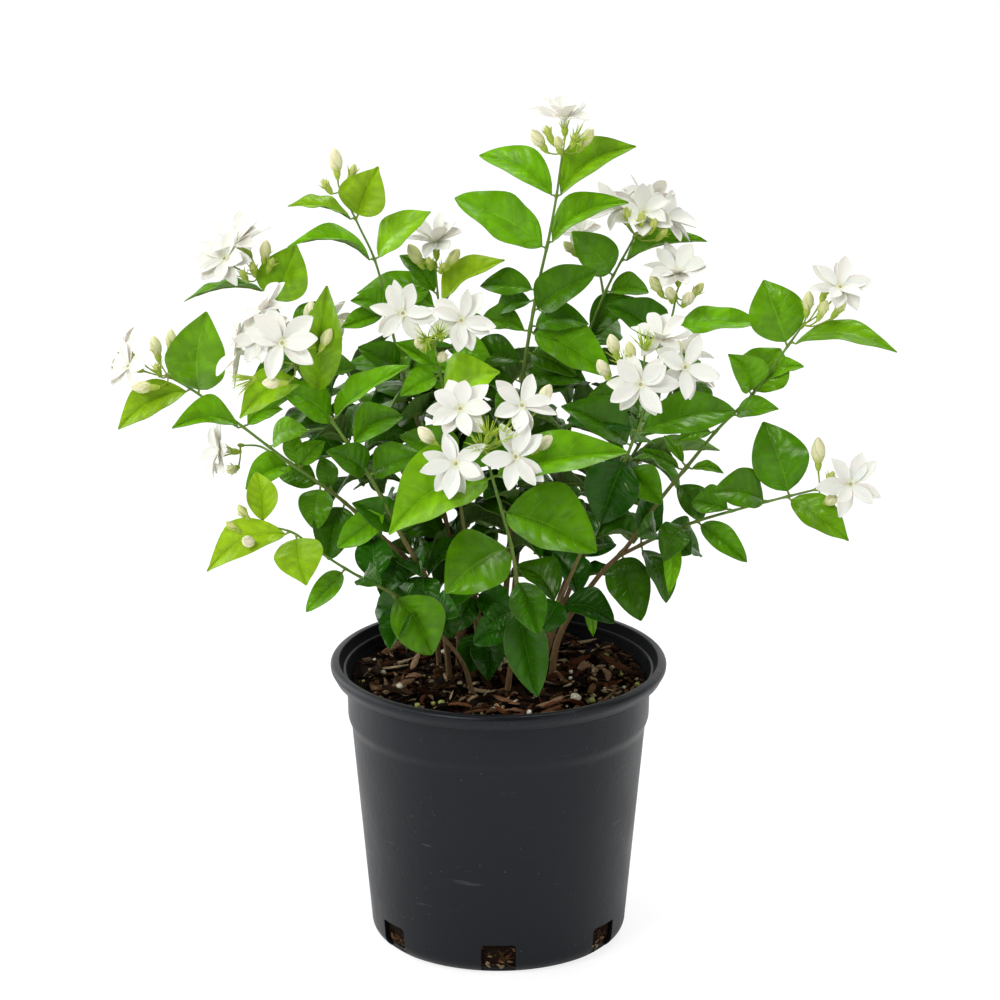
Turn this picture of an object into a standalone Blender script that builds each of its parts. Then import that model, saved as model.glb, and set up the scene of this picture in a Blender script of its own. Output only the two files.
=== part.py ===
"""Arabian jasmine growing in a black nursery pot.

Metres, +Z up. The origin is the middle of the pot's foot, on the ground, and the plant's front
faces -Y. Canes rise out of the growing mix near the pot's middle and fan out. Each cane carries
opposite leaves and ends in a truss: a knot with stalks, white flowers and cream buds.
"""

import math

import bmesh
import bpy
from mathutils import Vector

# ---- pot -------------------------------------------------------------------------------------
POT_HEIGHT = 0.145
LIP_RADIUS = 0.084
LIP_DEPTH = 0.008          # height of the rolled lip's skirt
LIP_BAND = 0.0048          # width of the lip's rounded top
COLLAR_RADIUS = 0.0758     # the straight band under the lip
COLLAR_BOTTOM = 0.1175
STEP_HEIGHT = 0.0075       # the slope from the collar in to the wall
WALL_TOP_RADIUS = 0.0734
WALL_BOTTOM_RADIUS = 0.0640
CORNER = 0.0082            # radius of the rounded bottom corner
FOOT_WIDTH = 0.006         # the flat ring that the pot stands on
FLOOR_UNDERSIDE = 0.0006   # the floor's underside is clear of the ground inside that ring
FLOOR = 0.0020
WALL = 0.0018
POT_SIDES = 42

# Drain windows cut through the rounded corner, as bearings from +X: front, back, two a side.
WINDOW_BEARINGS = (-90, -35, 35, 90, 145, 215)
WINDOW_WIDTH = 0.0172
WINDOW_TOP = 0.0166
WINDOW_REACH = (0.0550, 0.070)

# ---- growing mix -----------------------------------------------------------------------------
MIX_TOP = 0.133
GAP = 0.0003               # clearance between pieces that touch
MIX_SIDES = 42

# ---- plant -----------------------------------------------------------------------------------
CANE_SIDES = 6
CANE_FOOT = MIX_TOP + GAP
STEPS_PER_SPAN = 2         # rings between two route points
KNOT_RADIUS = 0.0015       # the swelling that a truss grows from
STALK_RADIUS = 0.0005
FLOWER_RADIUS = 0.0165
FLOWER_NOTCH = 0.0065      # radius between two petals
FLOWER_CUP = 0.003         # how far the petal tips come forward
FLOWER_TUBE = 0.009        # length of the tube behind the petals
PETALS = 7
BUD_LENGTH = 0.010
BUD_RADIUS = 0.0030
LEAF_THICKNESS = 0.0008
LEAF_ARCH = 0.09           # rise of the midrib's middle, as a share of the length
LEAF_FOLD = 0.22           # rise of the margins above the midrib, as a share of the half width
# (share of the length, share of the half width): petiole, shoulder, belly, taper
LEAF_OUTLINE = ((0.10, 0.10), (0.24, 0.74), (0.45, 1.00), (0.68, 0.78), (0.87, 0.34))

# Each cane's route from the mix to its tip, with its radius at both ends.
CANES = {
    "far_left": (0.0017, 0.0007, (
        (-0.024, -0.010, CANE_FOOT), (-0.027, -0.012, 0.162), (-0.036, -0.016, 0.192),
        (-0.056, -0.021, 0.215), (-0.078, -0.029, 0.239), (-0.102, -0.034, 0.259),
        (-0.131, -0.030, 0.281), (-0.148, -0.024, 0.292), (-0.160, -0.020, 0.298))),
    "low_left": (0.0014, 0.0006, (
        (-0.012, -0.027, CANE_FOOT), (-0.020, -0.037, 0.160), (-0.045, -0.056, 0.194),
        (-0.071, -0.071, 0.215), (-0.086, -0.076, 0.227), (-0.099, -0.079, 0.238),
        (-0.113, -0.080, 0.242))),
    "left": (0.0019, 0.0008, (
        (-0.012, -0.006, CANE_FOOT), (-0.018, -0.012, 0.157), (-0.031, -0.025, 0.188),
        (-0.048, -0.039, 0.224), (-0.063, -0.050, 0.258), (-0.081, -0.058, 0.289),
        (-0.097, -0.064, 0.317))),
    "upper_left": (0.0017, 0.0006, (
        (-0.020, 0.008, CANE_FOOT), (-0.020, 0.010, 0.162), (-0.024, 0.012, 0.203),
        (-0.036, 0.012, 0.250), (-0.049, 0.010, 0.298), (-0.059, 0.006, 0.345),
        (-0.068, 0.003, 0.368), (-0.076, 0.000, 0.386))),
    "pale_left": (0.0015, 0.0006, (
        (-0.029, 0.004, CANE_FOOT), (-0.034, 0.008, 0.172), (-0.049, 0.016, 0.208),
        (-0.079, 0.024, 0.258), (-0.098, 0.029, 0.293), (-0.109, 0.032, 0.316),
        (-0.118, 0.034, 0.333))),
    "upper_middle": (0.0016, 0.0007, (
        (-0.004, -0.014, CANE_FOOT), (-0.009, -0.012, 0.167), (-0.015, -0.010, 0.202),
        (-0.021, -0.016, 0.249), (-0.026, -0.024, 0.288), (-0.031, -0.031, 0.318))),
    "side_view": (0.0015, 0.0006, (
        (-0.009, 0.022, CANE_FOOT), (-0.013, 0.023, 0.172), (-0.018, 0.024, 0.217),
        (-0.024, 0.022, 0.262), (-0.028, 0.018, 0.306), (-0.031, 0.015, 0.344))),
    "top": (0.0020, 0.0007, (
        (0.000, 0.010, CANE_FOOT), (0.003, 0.012, 0.167), (0.006, 0.012, 0.207),
        (0.009, 0.012, 0.252), (0.013, 0.010, 0.296), (0.019, 0.008, 0.334),
        (0.024, 0.007, 0.358), (0.028, 0.005, 0.381), (0.031, 0.003, 0.404))),
    "centre": (0.0017, 0.0008, (
        (0.004, -0.028, CANE_FOOT), (0.007, -0.044, 0.167), (0.009, -0.066, 0.201),
        (0.007, -0.088, 0.230), (0.002, -0.104, 0.256), (-0.003, -0.114, 0.278),
        (-0.006, -0.119, 0.291))),
    "right_top": (0.0018, 0.0007, (
        (0.013, 0.021, CANE_FOOT), (0.017, 0.023, 0.162), (0.025, 0.027, 0.197),
        (0.034, 0.033, 0.247), (0.043, 0.036, 0.295), (0.053, 0.036, 0.325),
        (0.067, 0.033, 0.354))),
    "right_middle": (0.0016, 0.0007, (
        (0.021, 0.010, CANE_FOOT), (0.030, 0.012, 0.162), (0.046, 0.014, 0.203),
        (0.065, 0.016, 0.249), (0.077, 0.016, 0.286), (0.085, 0.014, 0.317),
        (0.087, 0.012, 0.328))),
    "right_front": (0.0016, 0.0007, (
        (0.014, -0.014, CANE_FOOT), (0.022, -0.022, 0.162), (0.031, -0.030, 0.188),
        (0.045, -0.042, 0.226), (0.059, -0.053, 0.261), (0.068, -0.061, 0.287),
        (0.070, -0.063, 0.299))),
    "right": (0.0020, 0.0007, (
        (0.026, -0.005, CANE_FOOT), (0.031, -0.009, 0.162), (0.049, -0.018, 0.194),
        (0.063, -0.022, 0.211), (0.079, -0.024, 0.236), (0.094, -0.025, 0.256),
        (0.108, -0.025, 0.274), (0.124, -0.025, 0.291), (0.139, -0.025, 0.313),
        (0.147, -0.025, 0.325))),
    "back_left": (0.0018, 0.0007, (
        (-0.017, 0.026, CANE_FOOT), (-0.024, 0.042, 0.167), (-0.040, 0.070, 0.202),
        (-0.064, 0.098, 0.238), (-0.080, 0.114, 0.264))),
    "back_middle": (0.0017, 0.0007, (
        (0.004, 0.030, CANE_FOOT), (0.008, 0.048, 0.167), (0.012, 0.078, 0.205),
        (0.008, 0.102, 0.238), (0.002, 0.117, 0.263))),
    "back_right": (0.0018, 0.0007, (
        (0.023, 0.028, CANE_FOOT), (0.032, 0.044, 0.165), (0.050, 0.070, 0.198),
        (0.073, 0.093, 0.229), (0.090, 0.107, 0.254))),
}

# Side shoots grow out of a cane: parent, place along it, end radii, route past the parent.
SIDE_SHOOTS = {
    "low_right": ("right", 0.36, 0.0011, 0.0007, (
        (0.079, -0.031, 0.220), (0.096, -0.039, 0.230), (0.115, -0.045, 0.238),
        (0.134, -0.050, 0.245), (0.154, -0.052, 0.251))),
    "low_pale": ("far_left", 0.66, 0.0009, 0.0006, (
        (-0.108, -0.028, 0.260), (-0.117, -0.018, 0.262), (-0.126, -0.010, 0.260))),
    "small": ("right_top", 0.85, 0.0008, 0.0006, (
        (0.050, 0.041, 0.334), (0.046, 0.045, 0.343))),
}

# Trusses: for each shoot, (place, facing) of its flowers and the place of its buds.
# A facing is a bearing round +Z from +X and a rise above level, in degrees.
TRUSSES = {
    "far_left": (
        (((-0.176, -0.024, 0.306), (228, 28)), ((-0.177, -0.004, 0.309), (195, 40))),
        ((-0.167, -0.020, 0.314), (-0.160, -0.012, 0.315), (-0.173, -0.036, 0.298))),
    "pale_left": (
        (((-0.135, 0.026, 0.345), (245, 35)), ((-0.127, 0.046, 0.348), (190, 65))),
        ((-0.115, 0.028, 0.349),)),
    "left": (
        (((-0.103, -0.078, 0.333), (265, 25)), ((-0.124, -0.056, 0.322), (225, 25)),
         ((-0.112, -0.062, 0.345), (240, 60))),
        ((-0.090, -0.066, 0.345), (-0.082, -0.072, 0.334), (-0.108, -0.084, 0.315))),
    "upper_left": ((), ((-0.079, 0.000, 0.402), (-0.084, -0.007, 0.392), (-0.071, 0.006, 0.395))),
    "upper_middle": (
        (((-0.046, -0.042, 0.337), (262, 30)), ((-0.018, -0.044, 0.334), (275, 30))),
        ((-0.038, -0.048, 0.324), (-0.027, -0.048, 0.317))),
    "side_view": (
        (((-0.031, 0.015, 0.360), (90, 80)),),
        ((-0.041, 0.006, 0.353), (-0.022, 0.008, 0.351))),
    "top": (
        (((0.032, 0.002, 0.423), (260, 80)),),
        ((0.019, 0.000, 0.413), (0.029, -0.008, 0.413), (0.043, 0.001, 0.413))),
    "centre": (
        (((-0.018, -0.119, 0.313), (262, 35)), ((0.011, -0.117, 0.314), (280, 35)),
         ((-0.020, -0.128, 0.289), (260, 15)), ((0.008, -0.130, 0.293), (275, 20))),
        ((0.022, -0.110, 0.317), (-0.034, -0.116, 0.299), (0.022, -0.118, 0.296))),
    "right_top": (
        (((0.061, 0.036, 0.377), (230, 60)), ((0.072, 0.022, 0.375), (290, 55)),
         ((0.084, 0.032, 0.369), (350, 45)), ((0.076, 0.046, 0.376), (60, 60))),
        ()),
    "small": ((((0.044, 0.050, 0.351), (120, 70)),), ((0.038, 0.040, 0.347), (0.051, 0.040, 0.346))),
    "right_middle": (
        (((0.088, 0.014, 0.345), (270, 80)),),
        ((0.077, 0.006, 0.338), (0.084, 0.000, 0.335), (0.093, 0.001, 0.332),
         (0.098, 0.010, 0.334))),
    "right_front": (
        (((0.068, -0.080, 0.313), (255, 20)), ((0.089, -0.072, 0.319), (295, 25)),
         ((0.078, -0.060, 0.330), (280, 65))),
        ((0.055, -0.064, 0.328), (0.050, -0.070, 0.318), (0.063, -0.072, 0.327))),
    "right": (
        (((0.165, -0.031, 0.347), (290, 48)),),
        ((0.150, -0.028, 0.339), (0.157, -0.036, 0.338), (0.166, -0.024, 0.335))),
    "low_right": (
        (((0.170, -0.062, 0.257), (285, 30)),),
        ((0.155, -0.050, 0.270), (0.161, -0.062, 0.249))),
    "low_pale": ((((-0.138, -0.006, 0.256), (222, 30)),), ((-0.131, -0.018, 0.250),)),
    "low_left": ((), ((-0.123, -0.080, 0.249), (-0.128, -0.084, 0.243), (-0.120, -0.092, 0.238))),
    "back_left": (
        (((-0.088, 0.126, 0.282), (110, 40)), ((-0.104, 0.112, 0.280), (160, 40))),
        ((-0.082, 0.120, 0.281), (-0.094, 0.128, 0.265))),
    "back_middle": (
        (((-0.008, 0.126, 0.275), (110, 40)), ((0.014, 0.124, 0.279), (70, 40))),
        ((0.001, 0.122, 0.281), (0.004, 0.134, 0.264))),
    "back_right": (
        (((0.098, 0.124, 0.268), (75, 40)), ((0.112, 0.104, 0.270), (10, 40))),
        ((0.092, 0.112, 0.272), (0.104, 0.120, 0.251))),
}

# The outermost leaves: shoot, place along it, bearing, rise, length, width, lean.
# The lean tips the blade's upper face towards the front, in degrees from straight up.
LEAVES = (
    ("top", 0.92, 162, 25, 0.043, 0.019, 40),
    ("top", 0.92, 15, 31, 0.046, 0.020, 40),
    ("top", 0.82, 196, 35, 0.054, 0.026, 45),
    ("upper_left", 0.94, 189, 15, 0.034, 0.013, 10),
    ("upper_left", 0.85, 187, 15, 0.043, 0.015, 10),
    ("upper_left", 0.85, -18, 45, 0.039, 0.019, 35),
    ("pale_left", 0.93, 20, 70, 0.032, 0.026, 60),
    ("far_left", 0.93, -70, 72, 0.047, 0.030, 60),
    ("far_left", 0.95, 196, -22, 0.040, 0.022, 50),
    ("low_left", 0.92, 192, -22, 0.044, 0.016, 50),
    ("low_left", 0.90, -74, -42, 0.027, 0.024, 60),
    ("centre", 0.92, 201, -20, 0.056, 0.034, 50),
    ("centre", 0.92, -4, 14, 0.065, 0.023, 45),
    ("centre", 0.80, -22, -15, 0.050, 0.034, 45),
    ("centre", 0.45, -62, -54, 0.050, 0.021, 60),
    ("right_middle", 0.91, -13, 12, 0.047, 0.017, 30),
    ("right", 0.95, 157, 69, 0.034, 0.028, 60),
    ("right", 0.96, -11, -1, 0.052, 0.015, 25),
    ("low_right", 0.88, 131, 60, 0.038, 0.028, 60),
    ("low_right", 0.87, -27, -26, 0.037, 0.018, 45),
    ("back_left", 0.70, 185, 10, 0.048, 0.026, -20),
    ("back_middle", 0.70, 150, 5, 0.050, 0.028, -25),
    ("back_right", 0.70, 0, 10, 0.048, 0.026, -20),
)


def clear_scene():
    for old in list(bpy.data.objects):
        bpy.data.objects.remove(old)


def material(name, colour, roughness, metallic=0.0):
    made = bpy.data.materials.new(name)
    made.use_nodes = True
    shader = made.node_tree.nodes["Principled BSDF"]
    shader.inputs["Base Color"].default_value = (*colour, 1.0)
    shader.inputs["Roughness"].default_value = roughness
    shader.inputs["Metallic"].default_value = metallic
    return made


def add_object(name, made_bmesh, colour):
    """Turns a bmesh into a named object with outward faces, shaded smooth at its soft edges."""
    bmesh.ops.recalc_face_normals(made_bmesh, faces=made_bmesh.faces)
    mesh = bpy.data.meshes.new(name)
    made_bmesh.to_mesh(mesh)
    made_bmesh.free()
    mesh.materials.append(colour)
    mesh.shade_smooth()
    mesh.set_sharp_from_angle(angle=math.radians(40))
    made = bpy.data.objects.new(name, mesh)
    bpy.context.scene.collection.objects.link(made)
    return made


def as_cutter(made):
    """A helper that a Boolean reads and the model leaves out."""
    made.hide_render = True
    made.display_type = "WIRE"
    return made


def boolean(made, operand, operation):
    cut = made.modifiers.new(operation.title(), "BOOLEAN")
    cut.operation = operation
    cut.object = operand
    cut.solver = "EXACT"
    cut.use_self = True


def heading(bearing, rise):
    """The unit vector at a bearing round +Z from +X and a rise above level, in degrees."""
    turn = math.radians(bearing)
    lift = math.radians(rise)
    return Vector((math.cos(lift) * math.cos(turn), math.cos(lift) * math.sin(turn), math.sin(lift)))


def join_rings(shape, lower, upper):
    for i in range(len(lower)):
        j = (i + 1) % len(lower)
        shape.faces.new((lower[i], lower[j], upper[j], upper[i]))


def turned(name, profile, sides, colour):
    """Spins a closed (radius, height) profile that starts and ends on the axis round Z."""
    shape = bmesh.new()
    rings = []
    for radius, height in profile[1:-1]:
        ring = [shape.verts.new((radius * math.sin(math.tau * i / sides),
                                 -radius * math.cos(math.tau * i / sides), height))
                for i in range(sides)]
        rings.append(ring)
    for lower, upper in zip(rings, rings[1:]):
        join_rings(shape, lower, upper)
    for ring, (_, height) in ((rings[0], profile[0]), (rings[-1], profile[-1])):
        middle = shape.verts.new((0.0, 0.0, height))
        for i in range(sides):
            shape.faces.new((ring[i], ring[(i + 1) % sides], middle))
    return add_object(name, shape, colour)


# ---- pot and mix -----------------------------------------------------------------------------
def corner_arc(inset, steps):
    """The rounded bottom corner from the floor out to the wall, moved in by the wall's thickness."""
    middle = WALL_BOTTOM_RADIUS - CORNER
    points = []
    for i in range(steps + 1):
        angle = 0.5 * math.pi * i / steps
        points.append((middle + (CORNER - inset) * math.sin(angle),
                       CORNER - (CORNER - inset) * math.cos(angle)))
    return points


def pot_outside():
    """The pot's outer outline from the middle of its underside up to the top of the lip."""
    foot_inner = WALL_BOTTOM_RADIUS - CORNER - FOOT_WIDTH
    lip_inner = LIP_RADIUS - LIP_BAND
    lip_bottom = POT_HEIGHT - LIP_DEPTH
    return [
        (0.0, FLOOR_UNDERSIDE),
        (foot_inner - FLOOR_UNDERSIDE, FLOOR_UNDERSIDE),
        (foot_inner, 0.0),
        *corner_arc(0.0, 5),
        (WALL_TOP_RADIUS, COLLAR_BOTTOM - STEP_HEIGHT),
        (COLLAR_RADIUS - 0.0004, COLLAR_BOTTOM),
        (COLLAR_RADIUS, lip_bottom - 0.001),
        (lip_inner - 0.0008, POT_HEIGHT - 0.0050),
        (LIP_RADIUS - 0.0034, POT_HEIGHT - 0.0040),
        (LIP_RADIUS - 0.0036, lip_bottom),
        (LIP_RADIUS - 0.0020, lip_bottom),
        (LIP_RADIUS - 0.0004, POT_HEIGHT - 0.0046),
        (LIP_RADIUS, POT_HEIGHT - 0.0024),
        (LIP_RADIUS - 0.0006, POT_HEIGHT - 0.0007),
        (LIP_RADIUS - 0.0018, POT_HEIGHT),
    ]


def pot_inside():
    """The inner outline from the lip down to the middle of the floor."""
    lip_inner = LIP_RADIUS - LIP_BAND
    wall_top = COLLAR_BOTTOM - STEP_HEIGHT
    return [
        (lip_inner + 0.0010, POT_HEIGHT),
        (lip_inner, POT_HEIGHT - 0.0010),
        (COLLAR_RADIUS - WALL, POT_HEIGHT - LIP_DEPTH - 0.0030),
        (COLLAR_RADIUS - WALL - 0.0004, COLLAR_BOTTOM),
        (WALL_TOP_RADIUS - WALL, wall_top),
        *reversed(corner_arc(FLOOR, 4)),
        (0.0, FLOOR),
    ]


def window_cutter():
    """One block for each drain window, all in one mesh."""
    near, far = WINDOW_REACH
    shape = bmesh.new()
    for bearing in WINDOW_BEARINGS:
        out = heading(bearing, 0)
        across = Vector((-out.y, out.x, 0.0)) * WINDOW_WIDTH / 2
        low = [near * out - across, far * out - across, far * out + across, near * out + across]
        rings = [[shape.verts.new((point.x, point.y, height)) for point in low]
                 for height in (-WINDOW_TOP, WINDOW_TOP)]
        join_rings(shape, *rings)
        for ring in rings:
            shape.faces.new(ring)
    return shape


def build_pot():
    plastic = material("black_plastic", (0.028, 0.030, 0.033), 0.42)
    pot = turned("pot", pot_outside() + pot_inside(), POT_SIDES, plastic)
    cutter = as_cutter(add_object("window_cutter", window_cutter(), plastic))
    boolean(pot, cutter, "DIFFERENCE")


def build_mix():
    """The root ball: the pot's inside less the gap, up to the mix's flat top."""
    soil = material("growing_mix", (0.055, 0.030, 0.018), 0.95)
    inset = WALL + GAP
    profile = [
        (0.0, FLOOR + GAP),
        *corner_arc(FLOOR + GAP, 4),
        (WALL_TOP_RADIUS - inset, COLLAR_BOTTOM - STEP_HEIGHT),
        (COLLAR_RADIUS - inset - 2 * GAP, COLLAR_BOTTOM + GAP),
        (COLLAR_RADIUS - inset - GAP, MIX_TOP),
        (0.0, MIX_TOP),
    ]
    turned("growing_mix", profile, MIX_SIDES, soil)


# ---- canes -----------------------------------------------------------------------------------
def smooth_route(points):
    """A Catmull-Rom curve through the route's points."""
    points = [Vector(point) for point in points]
    padded = [2 * points[0] - points[1], *points, 2 * points[-1] - points[-2]]
    smooth = [points[0]]
    for a, b, c, d in zip(padded, padded[1:], padded[2:], padded[3:]):
        for step in range(1, STEPS_PER_SPAN + 1):
            t = step / STEPS_PER_SPAN
            smooth.append(0.5 * (2 * b + (c - a) * t + (2 * a - 5 * b + 4 * c - d) * t ** 2
                                 + (3 * b - a - 3 * c + d) * t ** 3))
    return smooth


def tangents(points):
    ends = [points[0], *points, points[-1]]
    return [(after - before).normalized() for before, after in zip(ends, ends[2:])]


def spot_on(points, radii, along):
    """Place, direction and radius at a share of the route's length."""
    lengths = [0.0]
    for before, after in zip(points, points[1:]):
        lengths.append(lengths[-1] + (after - before).length)
    target = along * lengths[-1]
    for i in range(len(points) - 1):
        if target <= lengths[i + 1]:
            break
    share = (target - lengths[i]) / (lengths[i + 1] - lengths[i])
    place = points[i].lerp(points[i + 1], share)
    direction = (points[i + 1] - points[i]).normalized()
    return place, direction, radii[0] + (radii[1] - radii[0]) * along


def tube(shape, points, radii, sides, level_foot=False):
    """Adds a closed tapering tube along the points. A level foot stands flat on the mix."""
    sideways = Vector((0.0, 1.0, 0.0))
    rings = []
    for i, (place, direction) in enumerate(zip(points, tangents(points))):
        if level_foot and i == 0:
            direction = Vector((0.0, 0.0, 1.0))
        sideways = (sideways - sideways.dot(direction) * direction).normalized()
        other = direction.cross(sideways)
        radius = radii[0] + (radii[1] - radii[0]) * i / (len(points) - 1)
        ring = []
        for k in range(sides):
            angle = math.tau * k / sides
            offset = math.cos(angle) * sideways + math.sin(angle) * other
            ring.append(shape.verts.new(place + radius * offset))
        rings.append(ring)
    for lower, upper in zip(rings, rings[1:]):
        join_rings(shape, lower, upper)
    shape.faces.new(rings[0])
    shape.faces.new(rings[-1])


def build_canes():
    """Makes each cane with its side shoots as one piece. Returns every shoot's route and radii."""
    bark = material("cane_bark", (0.170, 0.115, 0.050), 0.65)
    shoots = {}
    canes = {}
    for name, (foot, tip, route) in CANES.items():
        points = smooth_route(route)
        shoots[name] = (points, (foot, tip))
        shape = bmesh.new()
        tube(shape, points, (foot, tip), CANE_SIDES, level_foot=True)
        canes[name] = add_object(f"cane_{name}", shape, bark)
    for name, (parent, along, foot, tip, route) in SIDE_SHOOTS.items():
        start = spot_on(*shoots[parent], along)[0]
        points = smooth_route((start, *route))
        shoots[name] = (points, (foot, tip))
        shape = bmesh.new()
        tube(shape, points, (foot, tip), CANE_SIDES)
        side = as_cutter(add_object(f"side_shoot_{name}", shape, bark))
        boolean(canes[parent], side, "UNION")
    return shoots


# ---- trusses ---------------------------------------------------------------------------------
def across(direction):
    """Two unit vectors at right angles to a direction and to each other."""
    helper = Vector((0.0, 0.0, 1.0)) if abs(direction.z) < 0.9 else Vector((0.0, 1.0, 0.0))
    first = direction.cross(helper).normalized()
    return first, direction.cross(first)


def add_flower(shape, place, facing, turn):
    """A star of petals that closes back to the end of its tube. Returns the tube's end."""
    first, second = across(facing)
    star = []
    for i in range(2 * PETALS):
        angle = turn + math.pi * i / PETALS
        radius, lift = (FLOWER_RADIUS, FLOWER_CUP) if i % 2 == 0 else (FLOWER_NOTCH, 0.001)
        offset = math.cos(angle) * first + math.sin(angle) * second
        star.append(shape.verts.new(place + lift * facing + radius * offset))
    tube_end = place - FLOWER_TUBE * facing
    back = shape.verts.new(tube_end)
    front = shape.verts.new(place + 0.001 * facing)
    for i in range(len(star)):
        j = (i + 1) % len(star)
        shape.faces.new((star[i], star[j], front))
        shape.faces.new((star[j], star[i], back))
    return place - 0.6 * FLOWER_TUBE * facing


def add_bud(shape, place, direction):
    """A pointed bud on a six-sided body. Returns a spot inside its lower half."""
    first, second = across(direction)
    rings = []
    for share, width in ((0.35, 1.0), (0.70, 0.75)):
        ring = []
        for k in range(6):
            angle = math.tau * k / 6
            offset = math.cos(angle) * first + math.sin(angle) * second
            height = (share - 0.5) * BUD_LENGTH
            ring.append(shape.verts.new(place + height * direction + width * BUD_RADIUS * offset))
        rings.append(ring)
    join_rings(shape, *rings)
    for ring, end in ((rings[0], -0.5), (rings[1], 0.5)):
        point = shape.verts.new(place + end * BUD_LENGTH * direction)
        for k in range(6):
            shape.faces.new((ring[k], ring[(k + 1) % 6], point))
    return place - 0.3 * BUD_LENGTH * direction


def build_truss(name, shoot, flowers, buds, petal):
    """A knot on the shoot's tip and, from it, a stalk to each flower and bud, as one piece."""
    points, radii = shoot
    direction = (points[-1] - points[-2]).normalized()
    knot = points[-1] + (KNOT_RADIUS + GAP) * direction
    body = bmesh.new()
    bmesh.ops.create_icosphere(body, subdivisions=1, radius=KNOT_RADIUS)
    bmesh.ops.translate(body, verts=body.verts, vec=knot)
    truss = add_object(f"truss_{name}", body, petal)
    heads = bmesh.new()
    ends = []
    for i, (place, facing) in enumerate(flowers):
        ends.append(add_flower(heads, Vector(place), heading(*facing), 0.4 * i))
    for place in buds:
        place = Vector(place)
        ends.append(add_bud(heads, place, (place - knot).normalized()))
    for end in ends:
        tube(heads, [knot, end], (STALK_RADIUS, STALK_RADIUS), 4)
    boolean(truss, as_cutter(add_object(f"heads_{name}", heads, petal)), "UNION")


# ---- leaves ----------------------------------------------------------------------------------
def build_leaf(name, shoot, row, colour):
    """A thin ovate blade, arched along its midrib, folded up along it and closed at its margin."""
    along, bearing, rise, length, width, lean = row
    spot, stem, radius = spot_on(*shoot, along)
    direction = heading(bearing, rise)
    away = (direction - direction.dot(stem) * stem).normalized()
    base = spot + (radius + GAP) * away
    upward = heading(-90, 90 - lean)
    upward = (upward - upward.dot(direction) * direction).normalized()
    sideways = direction.cross(upward)

    def spine(share):
        return base + share * length * direction + LEAF_ARCH * length * math.sin(math.pi * share) * upward

    shape = bmesh.new()
    foot = shape.verts.new(spine(0.0))
    tip = shape.verts.new(spine(1.0))
    rows = []
    for share, breadth in LEAF_OUTLINE:
        half = 0.5 * width * breadth
        thick = 0.5 * LEAF_THICKNESS * upward
        lift = LEAF_FOLD * half * upward
        rows.append([shape.verts.new(point) for point in (
            spine(share) - half * sideways + lift, spine(share) + thick,
            spine(share) + half * sideways + lift, spine(share) - thick)])
    for lower, upper in zip(rows, rows[1:]):
        join_rings(shape, lower, upper)
    for ring, point in ((rows[0], foot), (rows[-1], tip)):
        for k in range(4):
            shape.faces.new((ring[k], ring[(k + 1) % 4], point))
    add_object(name, shape, colour)


def build_leaves(shoots):
    green = material("leaf_green", (0.060, 0.200, 0.025), 0.45)
    counts = {}
    for shoot, *row in LEAVES:
        counts[shoot] = counts.get(shoot, 0) + 1
        build_leaf(f"leaf_{shoot}_{counts[shoot]}", shoots[shoot], row, green)


def main():
    clear_scene()
    build_pot()
    build_mix()
    shoots = build_canes()
    petal = material("petal_white", (0.850, 0.840, 0.780), 0.50)
    for name, (flowers, buds) in TRUSSES.items():
        build_truss(name, shoots[name], flowers, buds, petal)
    build_leaves(shoots)


main()
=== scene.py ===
"""Dresses the potted Arabian jasmine: a moulded nursery pot, a bark mix, canes, leaves and trusses.

Metres, +Z up, the plant's front faces -Y. Each shoot keeps the route of its cane, and each leaf,
flower and bud grows from it. The finishes are node graphs that read each surface's own places
(u across, v along) and two marks: age, from 0 old to 1 young, and tone, from 0 dark to 1 light.
"""

import functools
import math
import random

import bmesh
import bpy
import numpy as np
from bpy.props import FloatProperty, FloatVectorProperty, IntProperty, PointerProperty
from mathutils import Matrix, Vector, noise


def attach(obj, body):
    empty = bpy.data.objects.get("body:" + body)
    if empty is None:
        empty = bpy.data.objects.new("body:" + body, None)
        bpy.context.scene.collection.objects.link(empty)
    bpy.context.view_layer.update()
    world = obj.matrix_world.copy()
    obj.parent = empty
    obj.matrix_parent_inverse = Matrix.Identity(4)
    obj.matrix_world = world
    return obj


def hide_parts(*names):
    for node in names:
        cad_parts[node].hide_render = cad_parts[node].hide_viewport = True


bl_info = {
    "name": "Potted Jasmine",
    "version": (1, 0, 0),
    "blender": (4, 5, 0),
    "location": "3D View > Sidebar > Jasmine",
    "description": "Builds a flowering jasmine in a nursery pot round its construction model",
    "category": "Add Mesh",
}

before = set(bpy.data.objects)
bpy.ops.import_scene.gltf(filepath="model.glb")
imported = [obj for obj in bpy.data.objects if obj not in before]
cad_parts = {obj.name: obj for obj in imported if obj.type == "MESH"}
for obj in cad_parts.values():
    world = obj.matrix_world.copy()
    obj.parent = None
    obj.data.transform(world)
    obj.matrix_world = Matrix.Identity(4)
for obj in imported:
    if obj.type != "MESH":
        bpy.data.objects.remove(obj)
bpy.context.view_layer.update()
ROOT = "root"

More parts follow.
